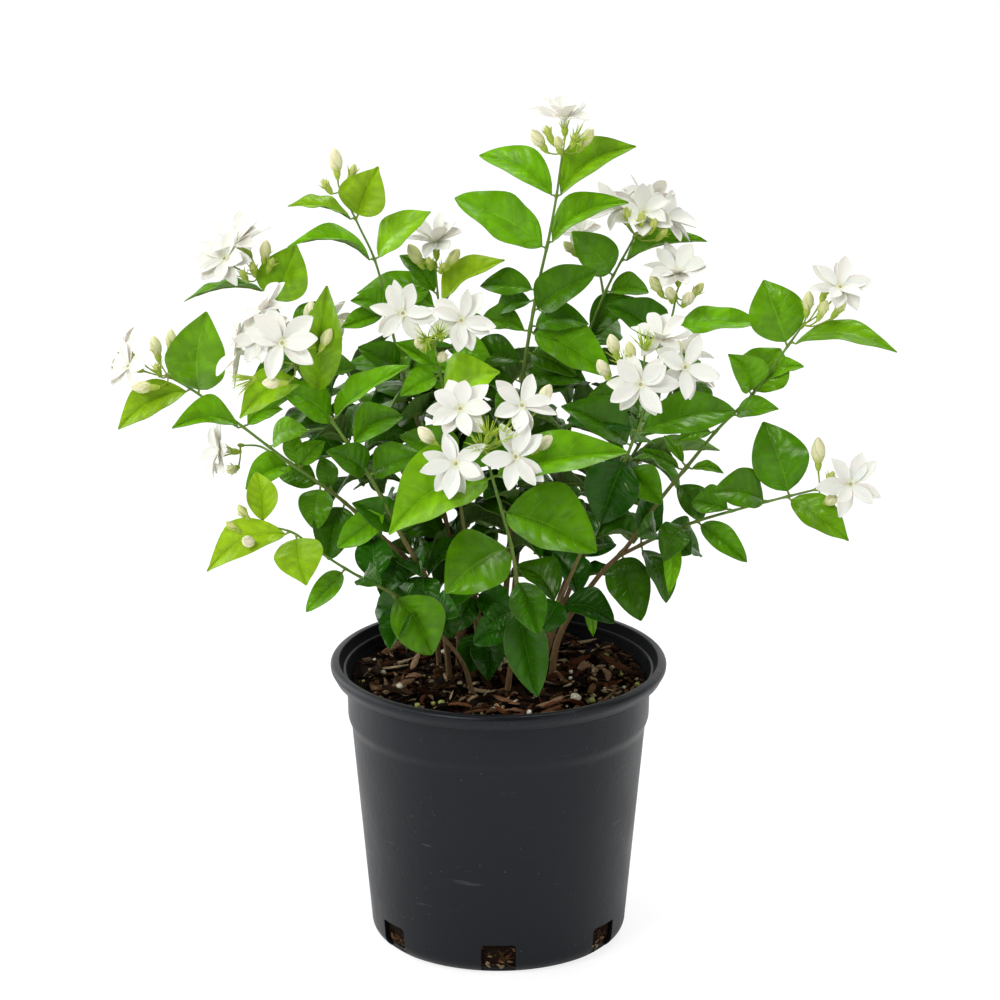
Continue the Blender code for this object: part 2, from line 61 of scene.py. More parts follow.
# ---- sizes shared with the construction model ------------------------------------------------
POT_HEIGHT = 0.145
LIP_RADIUS = 0.084
LIP_DEPTH = 0.008          # height of the rolled lip's skirt
LIP_BAND = 0.0048          # width of the lip's rounded top
COLLAR_RADIUS = 0.0758     # the straight band under the lip
COLLAR_BOTTOM = 0.1175
STEP_HEIGHT = 0.0075       # the slope from the collar in to the wall
WALL_TOP_RADIUS = 0.0734
WALL_BOTTOM_RADIUS = 0.0640
CORNER = 0.0082            # radius of the rounded bottom corner
FOOT_WIDTH = 0.006         # the flat ring that the pot stands on
FLOOR_UNDERSIDE = 0.0006
FLOOR = 0.0020
WALL = 0.0018
WINDOW_BEARINGS = (-90, -35, 35, 90, 145, 215)
WINDOW_WIDTH = 0.0172
WINDOW_TOP = 0.0166
MIX_TOP = 0.133
GAP = 0.0003               # clearance between pieces that touch
CANE_FOOT = MIX_TOP + GAP
KNOT_RADIUS = 0.0015       # the swelling that a truss grows from
FLOWER_TUBE = 0.009        # length of the tube behind the petals

# ---- finer sizes -----------------------------------------------------------------------------
FLOOR_MIDDLE = 0.020       # radius at which the pot's section starts and ends
FOOT_SLOPE = 0.0012        # width of the slope from the underside to the foot ring
COLLAR_DRAFT = 0.0004      # how much narrower the collar is at its bottom
LIP_SKIRT = 0.0022         # how much narrower the lip is at its skirt's lower edge
SKIRT_ROUND = 0.0006       # radius of that edge, which is half the skirt's thickness
GROOVE_ROUND = 0.0012      # radius of the corners in the groove between skirt and collar
GROOVE_DROP = 0.0045       # how far the groove's roof is below the lip's top
LIP_ROUND = 0.0022         # radius of the lip's outer edge
LIP_INNER_ROUND = 0.0012   # radius of its inner edge
WINDOW_REACH = (0.0592, 0.070)  # the radii between which a window is cut
WINDOW_ROUND = 0.0016      # radius of a window's upper corners
CRUST_RADIUS = COLLAR_RADIUS - WALL - 0.0008  # the mix's top ends just short of the wall
MOUND = 0.0030             # how much higher the mix is in the middle
# The lumps in the mix: share of the relief, lumps in a metre, and place in the third direction.
LUMPS = ((0.55, 70, 1.7), (0.30, 190, 4.2), (0.15, 520, 8.1))
LITTER_COUNT = 26          # bits of bark and root that show in a drain window
SWELLING = 0.24            # how much thicker a cane is where a pair of leaves grows
SWELLING_REACH = 0.0018    # how far along the cane that swelling reaches
FLARE = 0.0045             # length of a cane's flared foot
FLARE_WIDTH = 0.55         # how much thicker a cane is at its foot
PETIOLE = 0.0022           # length of a leaf's stalk
PETIOLE_RADII = (0.0006, 0.0005, 0.0004, 0.0003, 0.0002)
RIB_DEPTH = 0.00035        # depth of the midrib's centre under the blade's face
VEIN_PAIRS = 6             # side veins on each half of a blade
VEIN_SLANT = 0.20          # how far a side vein runs forward, as a share of the length
VEIN_CURVE = 1.25          # power of the curve in which it runs
QUILTING = 0.00026         # rise of the blade between two side veins
LEAF_ROWS = 19
LEAF_COLUMNS = 9
PETAL_ROWS = 11
PETAL_COLUMNS = 7
PETAL_WIDEST = 0.52        # where a petal is widest, as a share of its length
THROAT_RADIUS = 0.0013
# Radii along the flower's tube, from the calyx to the throat, and over the throat itself.
TUBE_RADII = (0.0009, 0.0010, 0.0010, 0.0011, 0.0012, 0.0015, 0.0019)
THROAT_HEIGHTS = (0.0003, 0.0007, 0.0010)
THROAT_RADII = (0.0014, 0.0010, 0.0004)
BUD_LENGTH = 0.0108
BUD_RADIUS = 0.0032
BUD_TUBE = 0.0035          # length of the tube under a bud
# A bud's radius from its foot to its tip, as shares of the largest.
BUD_PROFILE = (0.34, 0.58, 0.78, 0.91, 0.98, 1.0, 0.97, 0.88, 0.73, 0.50, 0.18)
PLAIN_BUD = (0.95, 0.2)    # size and greenness of the buds that aren't listed
LEVEL_BUD = (190, 4)       # bearing and rise of a bud that lies level
CALYX_HEIGHTS = (-0.0014, 0.0, 0.0018, 0.0040)
CALYX_RADII = (0.0005, 0.0013, 0.0018, 0.0016)
LOBES = 8                  # lobes round a calyx
LOBE_LENGTH = 0.0048
LOBE_RADII = (0.00036, 0.00030, 0.00010)
EMPTY_LOBES = 20           # the finer and longer ones round an empty calyx
EMPTY_LOBE_LENGTH = 0.0105
STALK_RADII = (0.00050, 0.00038, 0.00038, 0.00052)

# ---- where the leaves that aren't listed grow ------------------------------------------------
LOWEST_LEAF = 0.180        # height of the lowest pair
CROWN_HEIGHT = 0.23        # height above the mix at which leaves are youngest and longest
CROWN_REACH = 0.155        # how far from the axis a leaf's tip may be
DENSE_PITCH = 0.74         # distance between pairs on a dense shoot, as a share of the rest
MISSING_LEAVES = 0.08      # share of the leaves that have dropped
DENSE_SHOOTS = ("centre", "upper_middle", "side_view", "top", "right_front", "back_middle")
# Where the unlisted pairs start on some shoots. At 0 there are none.
FILLED_TO = {"back_left": 0.97, "back_middle": 0.97, "back_right": 0.97, "low_pale": 0.0, "small": 0.0}

# ---- seeds of the chances --------------------------------------------------------------------
CHIP_SEED = 11
FIBRE_SEED = 23
GRAIN_SEED = 5
LITTER_SEED = 31
PAIR_SEED = 100
BLADE_SEED = 300
TRUSS_SEED = 700

# ---- colours that need no setting ------------------------------------------------------------
WHITE = (1.0, 1.0, 1.0)
RED_BARK = (0.24, 0.075, 0.032)
LENTICEL = (0.30, 0.22, 0.14)
VEIN_GREEN = (0.20, 0.34, 0.05)
BACK_VEIN_GREEN = (0.26, 0.42, 0.13)
PETAL_CLOUD = (0.80, 0.82, 0.66)
PETAL_FOOT = (0.74, 0.74, 0.40)
THROAT_RIM = (0.84, 0.82, 0.58)
BUD_CLOUD = (0.84, 0.80, 0.60)
BUD_SEAM = (0.62, 0.56, 0.26)
GREEN_SCRAP = (0.36, 0.40, 0.09)
FLOOR_GRAIN = (0.80, 0.80, 0.80)

# Each cane: its radius at the foot and at the tip, and its route from one to the other.
CANES = {
    "far_left": (0.0017, 0.0007, (
        (-0.024, -0.010, CANE_FOOT), (-0.027, -0.012, 0.162), (-0.036, -0.016, 0.192),
        (-0.056, -0.021, 0.215), (-0.078, -0.029, 0.239), (-0.102, -0.034, 0.259),
        (-0.131, -0.030, 0.281), (-0.148, -0.024, 0.292), (-0.160, -0.020, 0.298))),
    "low_left": (0.0014, 0.0006, (
        (-0.012, -0.027, CANE_FOOT), (-0.020, -0.037, 0.160), (-0.045, -0.056, 0.194),
        (-0.071, -0.071, 0.215), (-0.086, -0.076, 0.227), (-0.099, -0.079, 0.238),
        (-0.113, -0.080, 0.242))),
    "left": (0.0019, 0.0008, (
        (-0.012, -0.006, CANE_FOOT), (-0.018, -0.012, 0.157), (-0.031, -0.025, 0.188),
        (-0.048, -0.039, 0.224), (-0.063, -0.050, 0.258), (-0.081, -0.058, 0.289),
        (-0.097, -0.064, 0.317))),
    "upper_left": (0.0017, 0.0006, (
        (-0.020, 0.008, CANE_FOOT), (-0.020, 0.010, 0.162), (-0.024, 0.012, 0.203),
        (-0.036, 0.012, 0.250), (-0.049, 0.010, 0.298), (-0.059, 0.006, 0.345),
        (-0.068, 0.003, 0.368), (-0.076, 0.000, 0.386))),
    "pale_left": (0.0015, 0.0006, (
        (-0.029, 0.004, CANE_FOOT), (-0.034, 0.008, 0.172), (-0.049, 0.016, 0.208),
        (-0.079, 0.024, 0.258), (-0.098, 0.029, 0.293), (-0.109, 0.032, 0.316),
        (-0.118, 0.034, 0.333))),
    "upper_middle": (0.0016, 0.0007, (
        (-0.004, -0.014, CANE_FOOT), (-0.009, -0.012, 0.167), (-0.015, -0.010, 0.202),
        (-0.021, -0.016, 0.249), (-0.026, -0.024, 0.288), (-0.031, -0.031, 0.318))),
    "side_view": (0.0015, 0.0006, (
        (-0.009, 0.022, CANE_FOOT), (-0.013, 0.023, 0.172), (-0.018, 0.024, 0.217),
        (-0.024, 0.022, 0.262), (-0.028, 0.018, 0.306), (-0.031, 0.015, 0.344))),
    "top": (0.0020, 0.0007, (
        (0.000, 0.010, CANE_FOOT), (0.003, 0.012, 0.167), (0.006, 0.012, 0.207),
        (0.009, 0.012, 0.252), (0.013, 0.010, 0.296), (0.019, 0.008, 0.334),
        (0.024, 0.007, 0.358), (0.028, 0.005, 0.381), (0.031, 0.003, 0.404))),
    "centre": (0.0017, 0.0008, (
        (0.004, -0.028, CANE_FOOT), (0.007, -0.044, 0.167), (0.009, -0.066, 0.201),
        (0.007, -0.088, 0.230), (0.002, -0.104, 0.256), (-0.003, -0.114, 0.278),
        (-0.006, -0.119, 0.291))),
    "right_top": (0.0018, 0.0007, (
        (0.013, 0.021, CANE_FOOT), (0.017, 0.023, 0.162), (0.025, 0.027, 0.197),
        (0.034, 0.033, 0.247), (0.043, 0.036, 0.295), (0.053, 0.036, 0.325),
        (0.067, 0.033, 0.354))),
    "right_middle": (0.0016, 0.0007, (
        (0.021, 0.010, CANE_FOOT), (0.030, 0.012, 0.162), (0.046, 0.014, 0.203),
        (0.065, 0.016, 0.249), (0.077, 0.016, 0.286), (0.085, 0.014, 0.317),
        (0.087, 0.012, 0.328))),
    "right_front": (0.0016, 0.0007, (
        (0.014, -0.014, CANE_FOOT), (0.022, -0.022, 0.162), (0.031, -0.030, 0.188),
        (0.045, -0.042, 0.226), (0.059, -0.053, 0.261), (0.068, -0.061, 0.287),
        (0.070, -0.063, 0.299))),
    "right": (0.0020, 0.0007, (
        (0.026, -0.005, CANE_FOOT), (0.031, -0.009, 0.162), (0.049, -0.018, 0.194),
        (0.063, -0.022, 0.211), (0.079, -0.024, 0.236), (0.094, -0.025, 0.256),
        (0.108, -0.025, 0.274), (0.124, -0.025, 0.291), (0.139, -0.025, 0.313),
        (0.147, -0.025, 0.325))),
    "back_left": (0.0018, 0.0007, (
        (-0.017, 0.026, CANE_FOOT), (-0.024, 0.042, 0.167), (-0.040, 0.070, 0.202),
        (-0.064, 0.098, 0.238), (-0.080, 0.114, 0.264))),
    "back_middle": (0.0017, 0.0007, (
        (0.004, 0.030, CANE_FOOT), (0.008, 0.048, 0.167), (0.012, 0.078, 0.205),
        (0.008, 0.102, 0.238), (0.002, 0.117, 0.263))),
    "back_right": (0.0018, 0.0007, (
        (0.023, 0.028, CANE_FOOT), (0.032, 0.044, 0.165), (0.050, 0.070, 0.198),
        (0.073, 0.093, 0.229), (0.090, 0.107, 0.254))),
}

# Side shoots grow out of a cane: parent, place along it, end radii, route past the parent.
SIDE_SHOOTS = {
    "low_right": ("right", 0.36, 0.0011, 0.0007, (
        (0.079, -0.031, 0.220), (0.096, -0.039, 0.230), (0.115, -0.045, 0.238),
        (0.134, -0.050, 0.245), (0.154, -0.052, 0.251))),
    "low_pale": ("far_left", 0.66, 0.0009, 0.0006, (
        (-0.108, -0.028, 0.260), (-0.117, -0.018, 0.262), (-0.126, -0.010, 0.260))),
    "small": ("right_top", 0.85, 0.0008, 0.0006, (
        (0.050, 0.041, 0.334), (0.046, 0.045, 0.343))),
}

# Trusses: for each shoot, (place, facing) of its flowers and the place of its buds.
# A facing is a bearing round +Z from +X and a rise above level, in degrees.
TRUSSES = {
    "far_left": (
        (((-0.180, -0.024, 0.305), (222, 26)), ((-0.183, -0.008, 0.307), (190, 35))),
        ((-0.167, -0.020, 0.314), (-0.160, -0.012, 0.315), (-0.173, -0.036, 0.298))),
    "pale_left": (
        (((-0.135, 0.026, 0.345), (245, 35)), ((-0.127, 0.046, 0.348), (190, 65)),
         ((-0.129, 0.034, 0.352), (215, 50))),
        ((-0.115, 0.028, 0.349),)),
    "left": (
        (((-0.103, -0.078, 0.333), (265, 25)), ((-0.124, -0.056, 0.322), (182, 12)),
         ((-0.112, -0.062, 0.345), (205, 50)), ((-0.112, -0.066, 0.334), (238, 22))),
        ((-0.090, -0.066, 0.345), (-0.082, -0.072, 0.334), (-0.108, -0.084, 0.315))),
    "upper_left": ((), ((-0.079, 0.000, 0.402), (-0.084, -0.007, 0.392), (-0.071, 0.006, 0.395))),
    "upper_middle": (
        (((-0.046, -0.042, 0.337), (262, 30)), ((-0.018, -0.044, 0.334), (275, 30))),
        ((-0.038, -0.048, 0.324), (-0.027, -0.048, 0.317))),
    "side_view": (
        (((-0.031, 0.015, 0.357), (250, 78)),),
        ((-0.041, 0.006, 0.353), (-0.022, 0.008, 0.351))),
    "top": (
        (((0.032, 0.002, 0.423), (260, 80)),),
        ((0.019, 0.000, 0.413), (0.029, -0.008, 0.413), (0.043, 0.001, 0.413))),
    "centre": (
        (((-0.018, -0.119, 0.313), (262, 35)), ((0.011, -0.117, 0.314), (280, 35)),
         ((-0.020, -0.128, 0.289), (260, 15)), ((0.008, -0.130, 0.293), (275, 20))),
        ((0.022, -0.110, 0.317), (-0.034, -0.116, 0.299), (0.022, -0.118, 0.296))),
    "right_top": (
        (((0.060, 0.036, 0.368), (215, 65)), ((0.071, 0.024, 0.369), (275, 50)),
         ((0.083, 0.030, 0.365), (335, 45)), ((0.074, 0.046, 0.368), (60, 70))),
        ()),
    "small": ((((0.041, 0.048, 0.352), (240, 65)),), ((0.035, 0.040, 0.347), (0.046, 0.038, 0.345))),
    "right_middle": (
        (((0.088, 0.013, 0.342), (262, 62)),),
        ((0.077, 0.006, 0.338), (0.084, 0.000, 0.335), (0.093, 0.001, 0.332),
         (0.098, 0.010, 0.334))),
    "right_front": (
        (((0.068, -0.080, 0.313), (255, 20)), ((0.089, -0.072, 0.319), (295, 25)),
         ((0.078, -0.060, 0.330), (280, 65))),
        ((0.055, -0.064, 0.328), (0.050, -0.070, 0.318), (0.063, -0.072, 0.327))),
    "right": (
        (((0.165, -0.031, 0.347), (290, 48)),),
        ((0.150, -0.028, 0.339), (0.157, -0.036, 0.338), (0.166, -0.024, 0.335))),
    "low_right": (
        (((0.170, -0.062, 0.257), (285, 30)),),
        ((0.155, -0.050, 0.270), (0.161, -0.062, 0.249))),
    "low_pale": ((((-0.137, -0.006, 0.256), (190, 8)),), ((-0.131, -0.018, 0.250),)),
    "low_left": ((), ((-0.123, -0.080, 0.249), (-0.128, -0.084, 0.243), (-0.120, -0.092, 0.238))),
    "back_left": (
        (((-0.088, 0.126, 0.282), (110, 40)), ((-0.104, 0.112, 0.280), (160, 40))),
        ((-0.082, 0.120, 0.281), (-0.094, 0.128, 0.265))),
    "back_middle": (
        (((-0.012, 0.132, 0.256), (110, 40)), ((0.014, 0.130, 0.258), (70, 40))),
        ((0.001, 0.128, 0.266), (0.004, 0.134, 0.252))),
    "back_right": (
        (((0.096, 0.124, 0.266), (75, 40)), ((0.098, 0.104, 0.262), (20, 40))),
        ((0.092, 0.112, 0.272), (0.104, 0.120, 0.251))),
}

# ---- foliage ---------------------------------------------------------------------------------
# The leaves near each shoot's tip: place along it, bearing, rise, length, width, lean, age.
# The lean tips the blade's upper face towards the front, in degrees from straight up.
LEAVES = {
    "top": (
        (0.92, 162, 25, 0.043, 0.019, 40, 0.50), (0.92, 15, 31, 0.046, 0.020, 40, 0.66),
        (0.82, 196, 35, 0.054, 0.026, 45, 0.40), (0.83, 7, 29, 0.044, 0.017, 32, 0.55),
        (0.70, -26, 39, 0.041, 0.022, 50, 0.22), (0.74, 163, 2, 0.029, 0.014, 50, 0.30),
        (0.72, 157, -22, 0.022, 0.013, 50, 0.25), (0.67, -22, 12, 0.030, 0.016, 50, 0.25),
        (0.66, -20, -22, 0.046, 0.023, 50, 0.30), (0.57, -20, 5, 0.032, 0.018, 50, 0.16),
        (0.60, 160, 0, 0.030, 0.018, 50, 0.16), (0.66, 158, 2, 0.027, 0.014, 50, 0.30),
        (0.62, -27, -16, 0.028, 0.016, 50, 0.25), (0.53, 154, 8, 0.028, 0.016, 50, 0.22)),
    "upper_left": (
        (0.94, 10, 67, 0.028, 0.024, 60, 0.78), (0.94, 189, 15, 0.034, 0.013, 10, 0.74),
        (0.85, 187, 15, 0.043, 0.015, 10, 0.48), (0.85, -18, 45, 0.039, 0.019, 35, 0.62),
        (0.73, -150, 32, 0.024, 0.014, 50, 0.35), (0.75, 27, 16, 0.023, 0.013, 45, 0.45),
        (0.74, -165, -12, 0.024, 0.011, 50, 0.40), (0.62, -159, 35, 0.027, 0.016, 50, 0.22),
        (0.62, -32, 10, 0.029, 0.017, 50, 0.28)),
    "pale_left": (
        (0.93, 20, 70, 0.032, 0.026, 60, 0.62), (0.97, -173, -3, 0.041, 0.014, -4, 0.52),
        (0.86, 13, 32, 0.026, 0.014, 45, 0.42), (0.79, -153, -16, 0.028, 0.016, 50, 0.32)),
    "left": (
        (0.91, -40, 83, 0.056, 0.021, 65, 0.66), (0.84, -22, 40, 0.051, 0.016, 32, 0.48),
        (0.83, -157, 40, 0.036, 0.018, 45, 0.38), (0.76, 31, 20, 0.031, 0.018, 50, 0.30),
        (0.36, -80, -45, 0.020, 0.017, 58, 0.10), (0.67, -152, 38, 0.027, 0.017, 50, 0.20),
        (0.67, -26, 28, 0.031, 0.018, 50, 0.22), (0.56, -162, -32, 0.030, 0.015, 55, 0.34),
        (0.50, -156, 38, 0.029, 0.017, 50, 0.15), (0.50, -36, 40, 0.028, 0.017, 50, 0.15),
        (0.96, 196, -25, 0.036, 0.018, 50, 0.72), (0.28, -60, -50, 0.022, 0.018, 58, 0.12)),
    "far_left": (
        (0.93, -70, 72, 0.047, 0.030, 60, 0.60), (0.95, 196, -22, 0.040, 0.018, 50, 0.74),
        (0.81, -155, 11, 0.037, 0.018, 30, 0.58), (0.81, 28, 17, 0.022, 0.012, 50, 0.50),
        (0.74, -38, 28, 0.028, 0.014, 50, 0.50), (0.68, -130, -6, 0.033, 0.016, 50, 0.55),
        (0.66, 160, 78, 0.021, 0.010, 55, 0.45), (0.66, 20, 45, 0.018, 0.011, 55, 0.38),
        (0.60, -100, -50, 0.023, 0.017, 55, 0.28), (0.60, 170, 10, 0.021, 0.014, 50, 0.30),
        (0.57, 150, 70, 0.018, 0.011, 55, 0.25), (0.53, -110, -46, 0.031, 0.021, 58, 0.18),
        (0.50, -43, -50, 0.023, 0.018, 55, 0.20), (0.34, -125, -35, 0.024, 0.017, 55, 0.12)),
    "low_left": (
        (0.92, 192, -22, 0.044, 0.018, 50, 0.84), (0.90, -74, -42, 0.027, 0.024, 60, 0.70),
        (1.00, 113, 68, 0.026, 0.015, 60, 0.84), (0.71, -140, -32, 0.029, 0.012, 50, 0.35),
        # The leaf at 0.52 has a high age for its place, so that it is paler: painted sheen.
        (0.65, -60, 8, 0.020, 0.013, 55, 0.15), (0.52, -17, -54, 0.035, 0.027, 58, 0.34),
        (0.60, 95, 50, 0.026, 0.018, 50, 0.12), (0.44, 120, 30, 0.014, 0.012, 55, 0.12)),
    "upper_middle": (
        (0.62, -137, 38, 0.044, 0.024, 45, 0.24), (0.81, -38, 39, 0.040, 0.028, 50, 0.66),
        (0.91, -153, -18, 0.023, 0.013, 50, 0.50), (0.93, -165, 35, 0.026, 0.012, 45, 0.45),
        (0.62, 20, 20, 0.032, 0.018, 50, 0.22), (0.27, -130, -52, 0.021, 0.016, 60, 0.14),
        (0.17, -119, -65, 0.022, 0.018, 60, 0.12), (0.27, -30, -25, 0.022, 0.017, 60, 0.12),
        (0.15, -80, -45, 0.024, 0.017, 60, 0.10)),
    "side_view": (
        (0.90, -18, 42, 0.043, 0.018, 25, 0.84), (0.90, 172, 8, 0.041, 0.018, 40, 0.38),
        (0.93, 160, 45, 0.027, 0.012, 40, 0.32), (0.82, 19, 18, 0.026, 0.014, 45, 0.52),
        (0.80, -20, -8, 0.026, 0.014, 50, 0.40), (0.74, 175, 15, 0.030, 0.017, 50, 0.30)),
    "centre": (
        (0.92, 201, -20, 0.056, 0.034, 50, 0.66), (0.92, -4, 14, 0.065, 0.023, 45, 0.48),
        (0.80, -22, -15, 0.050, 0.034, 45, 0.36), (0.66, -143, -21, 0.042, 0.032, 55, 0.28),
        (0.51, -56, -50, 0.030, 0.018, 58, 0.14), (0.40, -66, -58, 0.047, 0.021, 60, 0.10),
        (0.36, -163, -20, 0.016, 0.014, 58, 0.08), (0.28, -168, -15, 0.021, 0.016, 58, 0.05)),
    "right_top": (
        (0.94, 0, 14, 0.043, 0.015, 20, 0.52), (0.90, -150, 48, 0.035, 0.020, 60, 0.34),
        (0.86, 20, -3, 0.023, 0.013, 45, 0.38), (0.75, 11, 36, 0.032, 0.016, 50, 0.30),
        (0.75, -165, 30, 0.024, 0.014, 50, 0.30)),
    "right_middle": (
        (0.91, -13, 12, 0.047, 0.017, 30, 0.48), (0.86, -159, 45, 0.040, 0.021, 45, 0.20),
        (0.78, 23, 20, 0.027, 0.015, 45, 0.30), (0.70, -150, 25, 0.034, 0.019, 50, 0.20)),
    "right_front": (
        (0.91, 12, 9, 0.049, 0.022, 50, 0.26), (0.86, -161, 37, 0.042, 0.021, 45, 0.24),
        (0.91, 176, 8, 0.034, 0.018, 50, 0.12), (0.82, -140, -60, 0.034, 0.027, 58, 0.08),
        (0.78, -36, -29, 0.027, 0.017, 55, 0.20), (0.63, -138, -36, 0.030, 0.018, 55, 0.12),
        (0.32, -125, -30, 0.023, 0.017, 58, 0.08)),
    "right": (
        (0.95, 157, 69, 0.034, 0.028, 60, 0.50), (0.96, -11, -1, 0.052, 0.015, 25, 0.62),
        (0.82, 36, 50, 0.027, 0.026, 55, 0.50), (0.82, -142, 61, 0.027, 0.018, 50, 0.42),
        (0.86, 12, 18, 0.021, 0.009, 45, 0.50), (0.76, -25, 16, 0.025, 0.013, 40, 0.40),
        (0.71, -159, -7, 0.020, 0.009, 45, 0.30), (0.61, -8, -5, 0.018, 0.006, 40, 0.35),
        (0.61, 140, 45, 0.019, 0.006, 40, 0.30), (0.60, 180, 27, 0.024, 0.006, 40, 0.28),
        (0.57, -22, -53, 0.023, 0.015, 55, 0.20), (0.37, -72, -39, 0.038, 0.022, 58, 0.16),
        (0.24, -60, -70, 0.021, 0.006, 50, 0.50)),
    "low_right": (
        (0.88, 131, 60, 0.038, 0.028, 60, 0.22), (0.87, -27, -26, 0.037, 0.018, 45, 0.62),
        (0.78, -159, 18, 0.030, 0.021, 50, 0.26), (0.61, 152, 6, 0.022, 0.016, 50, 0.28),
        (0.44, -33, -26, 0.032, 0.013, 50, 0.28), (0.39, -123, -28, 0.025, 0.016, 55, 0.18),
        (0.30, -95, -62, 0.031, 0.009, 50, 0.45), (0.24, -30, -18, 0.018, 0.016, 55, 0.16)),
    "back_left": ((0.70, 185, 10, 0.048, 0.026, -20, 0.45),),
    "back_middle": ((0.70, 150, 5, 0.050, 0.028, -25, 0.45),),
    "back_right": ((0.70, 0, 10, 0.048, 0.026, -20, 0.45),),
}

# Empty calyces, whose flowers have dropped, stand among the flowers of some trusses.
EMPTY_CALYCES = {
    "centre": ((-0.0050, -0.123, 0.299), (-0.0010, -0.124, 0.298), (-0.0075, -0.124, 0.295)),
    "upper_middle": ((-0.034, -0.048, 0.325), (-0.029, -0.047, 0.327)),
    "right_front": ((0.070, -0.066, 0.324), (0.062, -0.067, 0.316)),
    "left": ((-0.095, -0.070, 0.326), (-0.115, -0.066, 0.312)),
    "top": ((0.036, -0.002, 0.411),),
}

# Small green buds that stand among the flowers of some trusses: place and size.
GREEN_BUDS = {
    "right_top": (((0.063, 0.016, 0.371), 0.74), ((0.070, 0.014, 0.369), 0.80),
                  ((0.076, 0.015, 0.366), 0.74), ((0.081, 0.018, 0.361), 0.68)),
    "pale_left": (((-0.121, 0.022, 0.342), 0.66), ((-0.126, 0.020, 0.339), 0.60),
                  ((-0.112, 0.026, 0.343), 0.56)),
    "top": (((0.024, 0.002, 0.416), 0.62), ((0.037, -0.006, 0.415), 0.60)),
    "small": (((0.041, 0.036, 0.348), 0.64),),
    "side_view": (((-0.034, 0.004, 0.350), 0.60), ((-0.027, 0.002, 0.348), 0.56)),
    "low_right": (((0.161, -0.054, 0.258), 0.62),),
    "right": (((0.158, -0.030, 0.345), 0.60),),
    "far_left": (((-0.166, -0.030, 0.306), 0.56),),
}

# Buds that lie level instead of standing up: the truss and the bud's number.
LEVEL_BUDS = (("far_left", 2), ("left", 2))

# Flowers that are larger or smaller than the rest: the truss, the flower's number and its size.
FLOWER_SIZES = {("left", 0): 1.22, ("left", 1): 1.12, ("centre", 0): 1.04, ("centre", 3): 1.06,
                ("right_front", 0): 1.06, ("right_front", 1): 1.06, ("right_middle", 0): 1.10,
                ("low_pale", 0): 0.92, ("small", 0): 0.66, ("far_left", 0): 0.86, ("far_left", 1): 0.86}

# Size and greenness of the buds of each truss, in the trusses' order.
BUD_FORMS = {
    "far_left": ((1.00, 0.35), (0.92, 0.45), (1.00, 0.25)),
    "pale_left": ((1.00, 0.40),),
    "left": ((1.00, 0.10), (0.95, 0.50), (0.85, 0.05)),
    "upper_left": ((1.15, 0.25), (0.64, 0.95), (0.70, 0.90)),
    "upper_middle": ((0.80, 0.15), (0.76, 0.15)),
    "side_view": ((1.25, 0.65), (1.05, 0.70)),
    "top": ((1.00, 0.25), (0.78, 0.60), (1.00, 0.50)),
    "centre": ((1.05, 0.10), (1.00, 0.00), (1.00, 0.12)),
    "small": ((0.80, 0.65), (0.76, 0.65)),
    "right_middle": ((1.00, 0.55), (0.85, 0.30), (0.90, 0.10), (0.78, 0.80)),
    "right_front": ((1.00, 0.10), (0.92, 0.05), (1.00, 0.55)),
    "right": ((1.00, 0.45), (0.88, 0.60), (0.78, 0.70)),
    "low_right": ((1.25, 0.25), (0.95, 0.35)),
    "low_pale": ((0.80, 0.50),),
    "low_left": ((0.74, 0.75), (0.70, 0.85), (0.88, 0.05)),
}

# Chips that lie on top: x, y, bearing, length, width, age, tone.
STRAY_CHIPS = (
    (0.004, -0.048, -52, 0.020, 0.0050, 0.98, 0.74),
    (0.044, 0.024, 8, 0.023, 0.0036, 0.40, 0.78),
    (0.015, -0.024, -50, 0.010, 0.0011, 0.30, 1.00),
    (-0.055, 0.002, 6, 0.019, 0.0032, 0.40, 0.90),
    (-0.050, 0.012, 25, 0.016, 0.0028, 0.50, 0.84),
    (-0.042, -0.021, 0, 0.008, 0.0070, 0.96, 0.80),
    (-0.023, -0.021, 62, 0.028, 0.0017, 0.80, 0.46),
    (0.030, -0.050, 25, 0.017, 0.0040, 0.92, 0.60),
    (0.053, -0.010, 100, 0.016, 0.0036, 0.60, 0.70),
    (-0.020, -0.055, -15, 0.016, 0.0044, 0.90, 0.60),
)
# Ranges of a chip's length and width, and how far it lies above the mix.
LARGE_CHIP = ((0.009, 0.018), (0.0020, 0.0048), 0.0026)
SMALL_CHIP = ((0.0026, 0.0078), (0.0012, 0.0034), 0.0006)
LARGE_EVERY = 6            # one chip in so many is large

# Pellets that show on the mix: x, y and radius, then whether they are green.
PELLETS = (
    (-0.027, 0.020, 0.0019, False), (-0.058, -0.005, 0.0018, False),
    (-0.049, -0.027, 0.0019, False), (0.038, -0.045, 0.0027, False),
    (0.015, -0.061, 0.0015, False), (-0.008, 0.001, 0.0017, False), (0.046, -0.045, 0.0019, True),
    (0.069, -0.018, 0.0015, True), (0.061, -0.004, 0.0019, True), (-0.028, -0.049, 0.0018, True),
    (-0.032, -0.047, 0.0013, True),
)

# ---- floor, lamps and camera -----------------------------------------------------------------
AIM = Vector((0.00075, 0.0, 0.2283))  # what the camera and the lamps look at
CAMERA_DISTANCE = 2.774
CAMERA_RISE = 18.4         # degrees above level
LENS = 201.6               # focal length in millimetres
SENSOR = 36.0
FLOOR_HALF = 6.0           # half the floor's width
FLOOR_GLOW = 1.22          # strength of the white that the camera sees in the floor
FLOOR_GLOW_SHARE = 0.66    # share of it, which leaves the shadow the rest
MIRRORED_GLOW = 0.25       # share of it in reflections
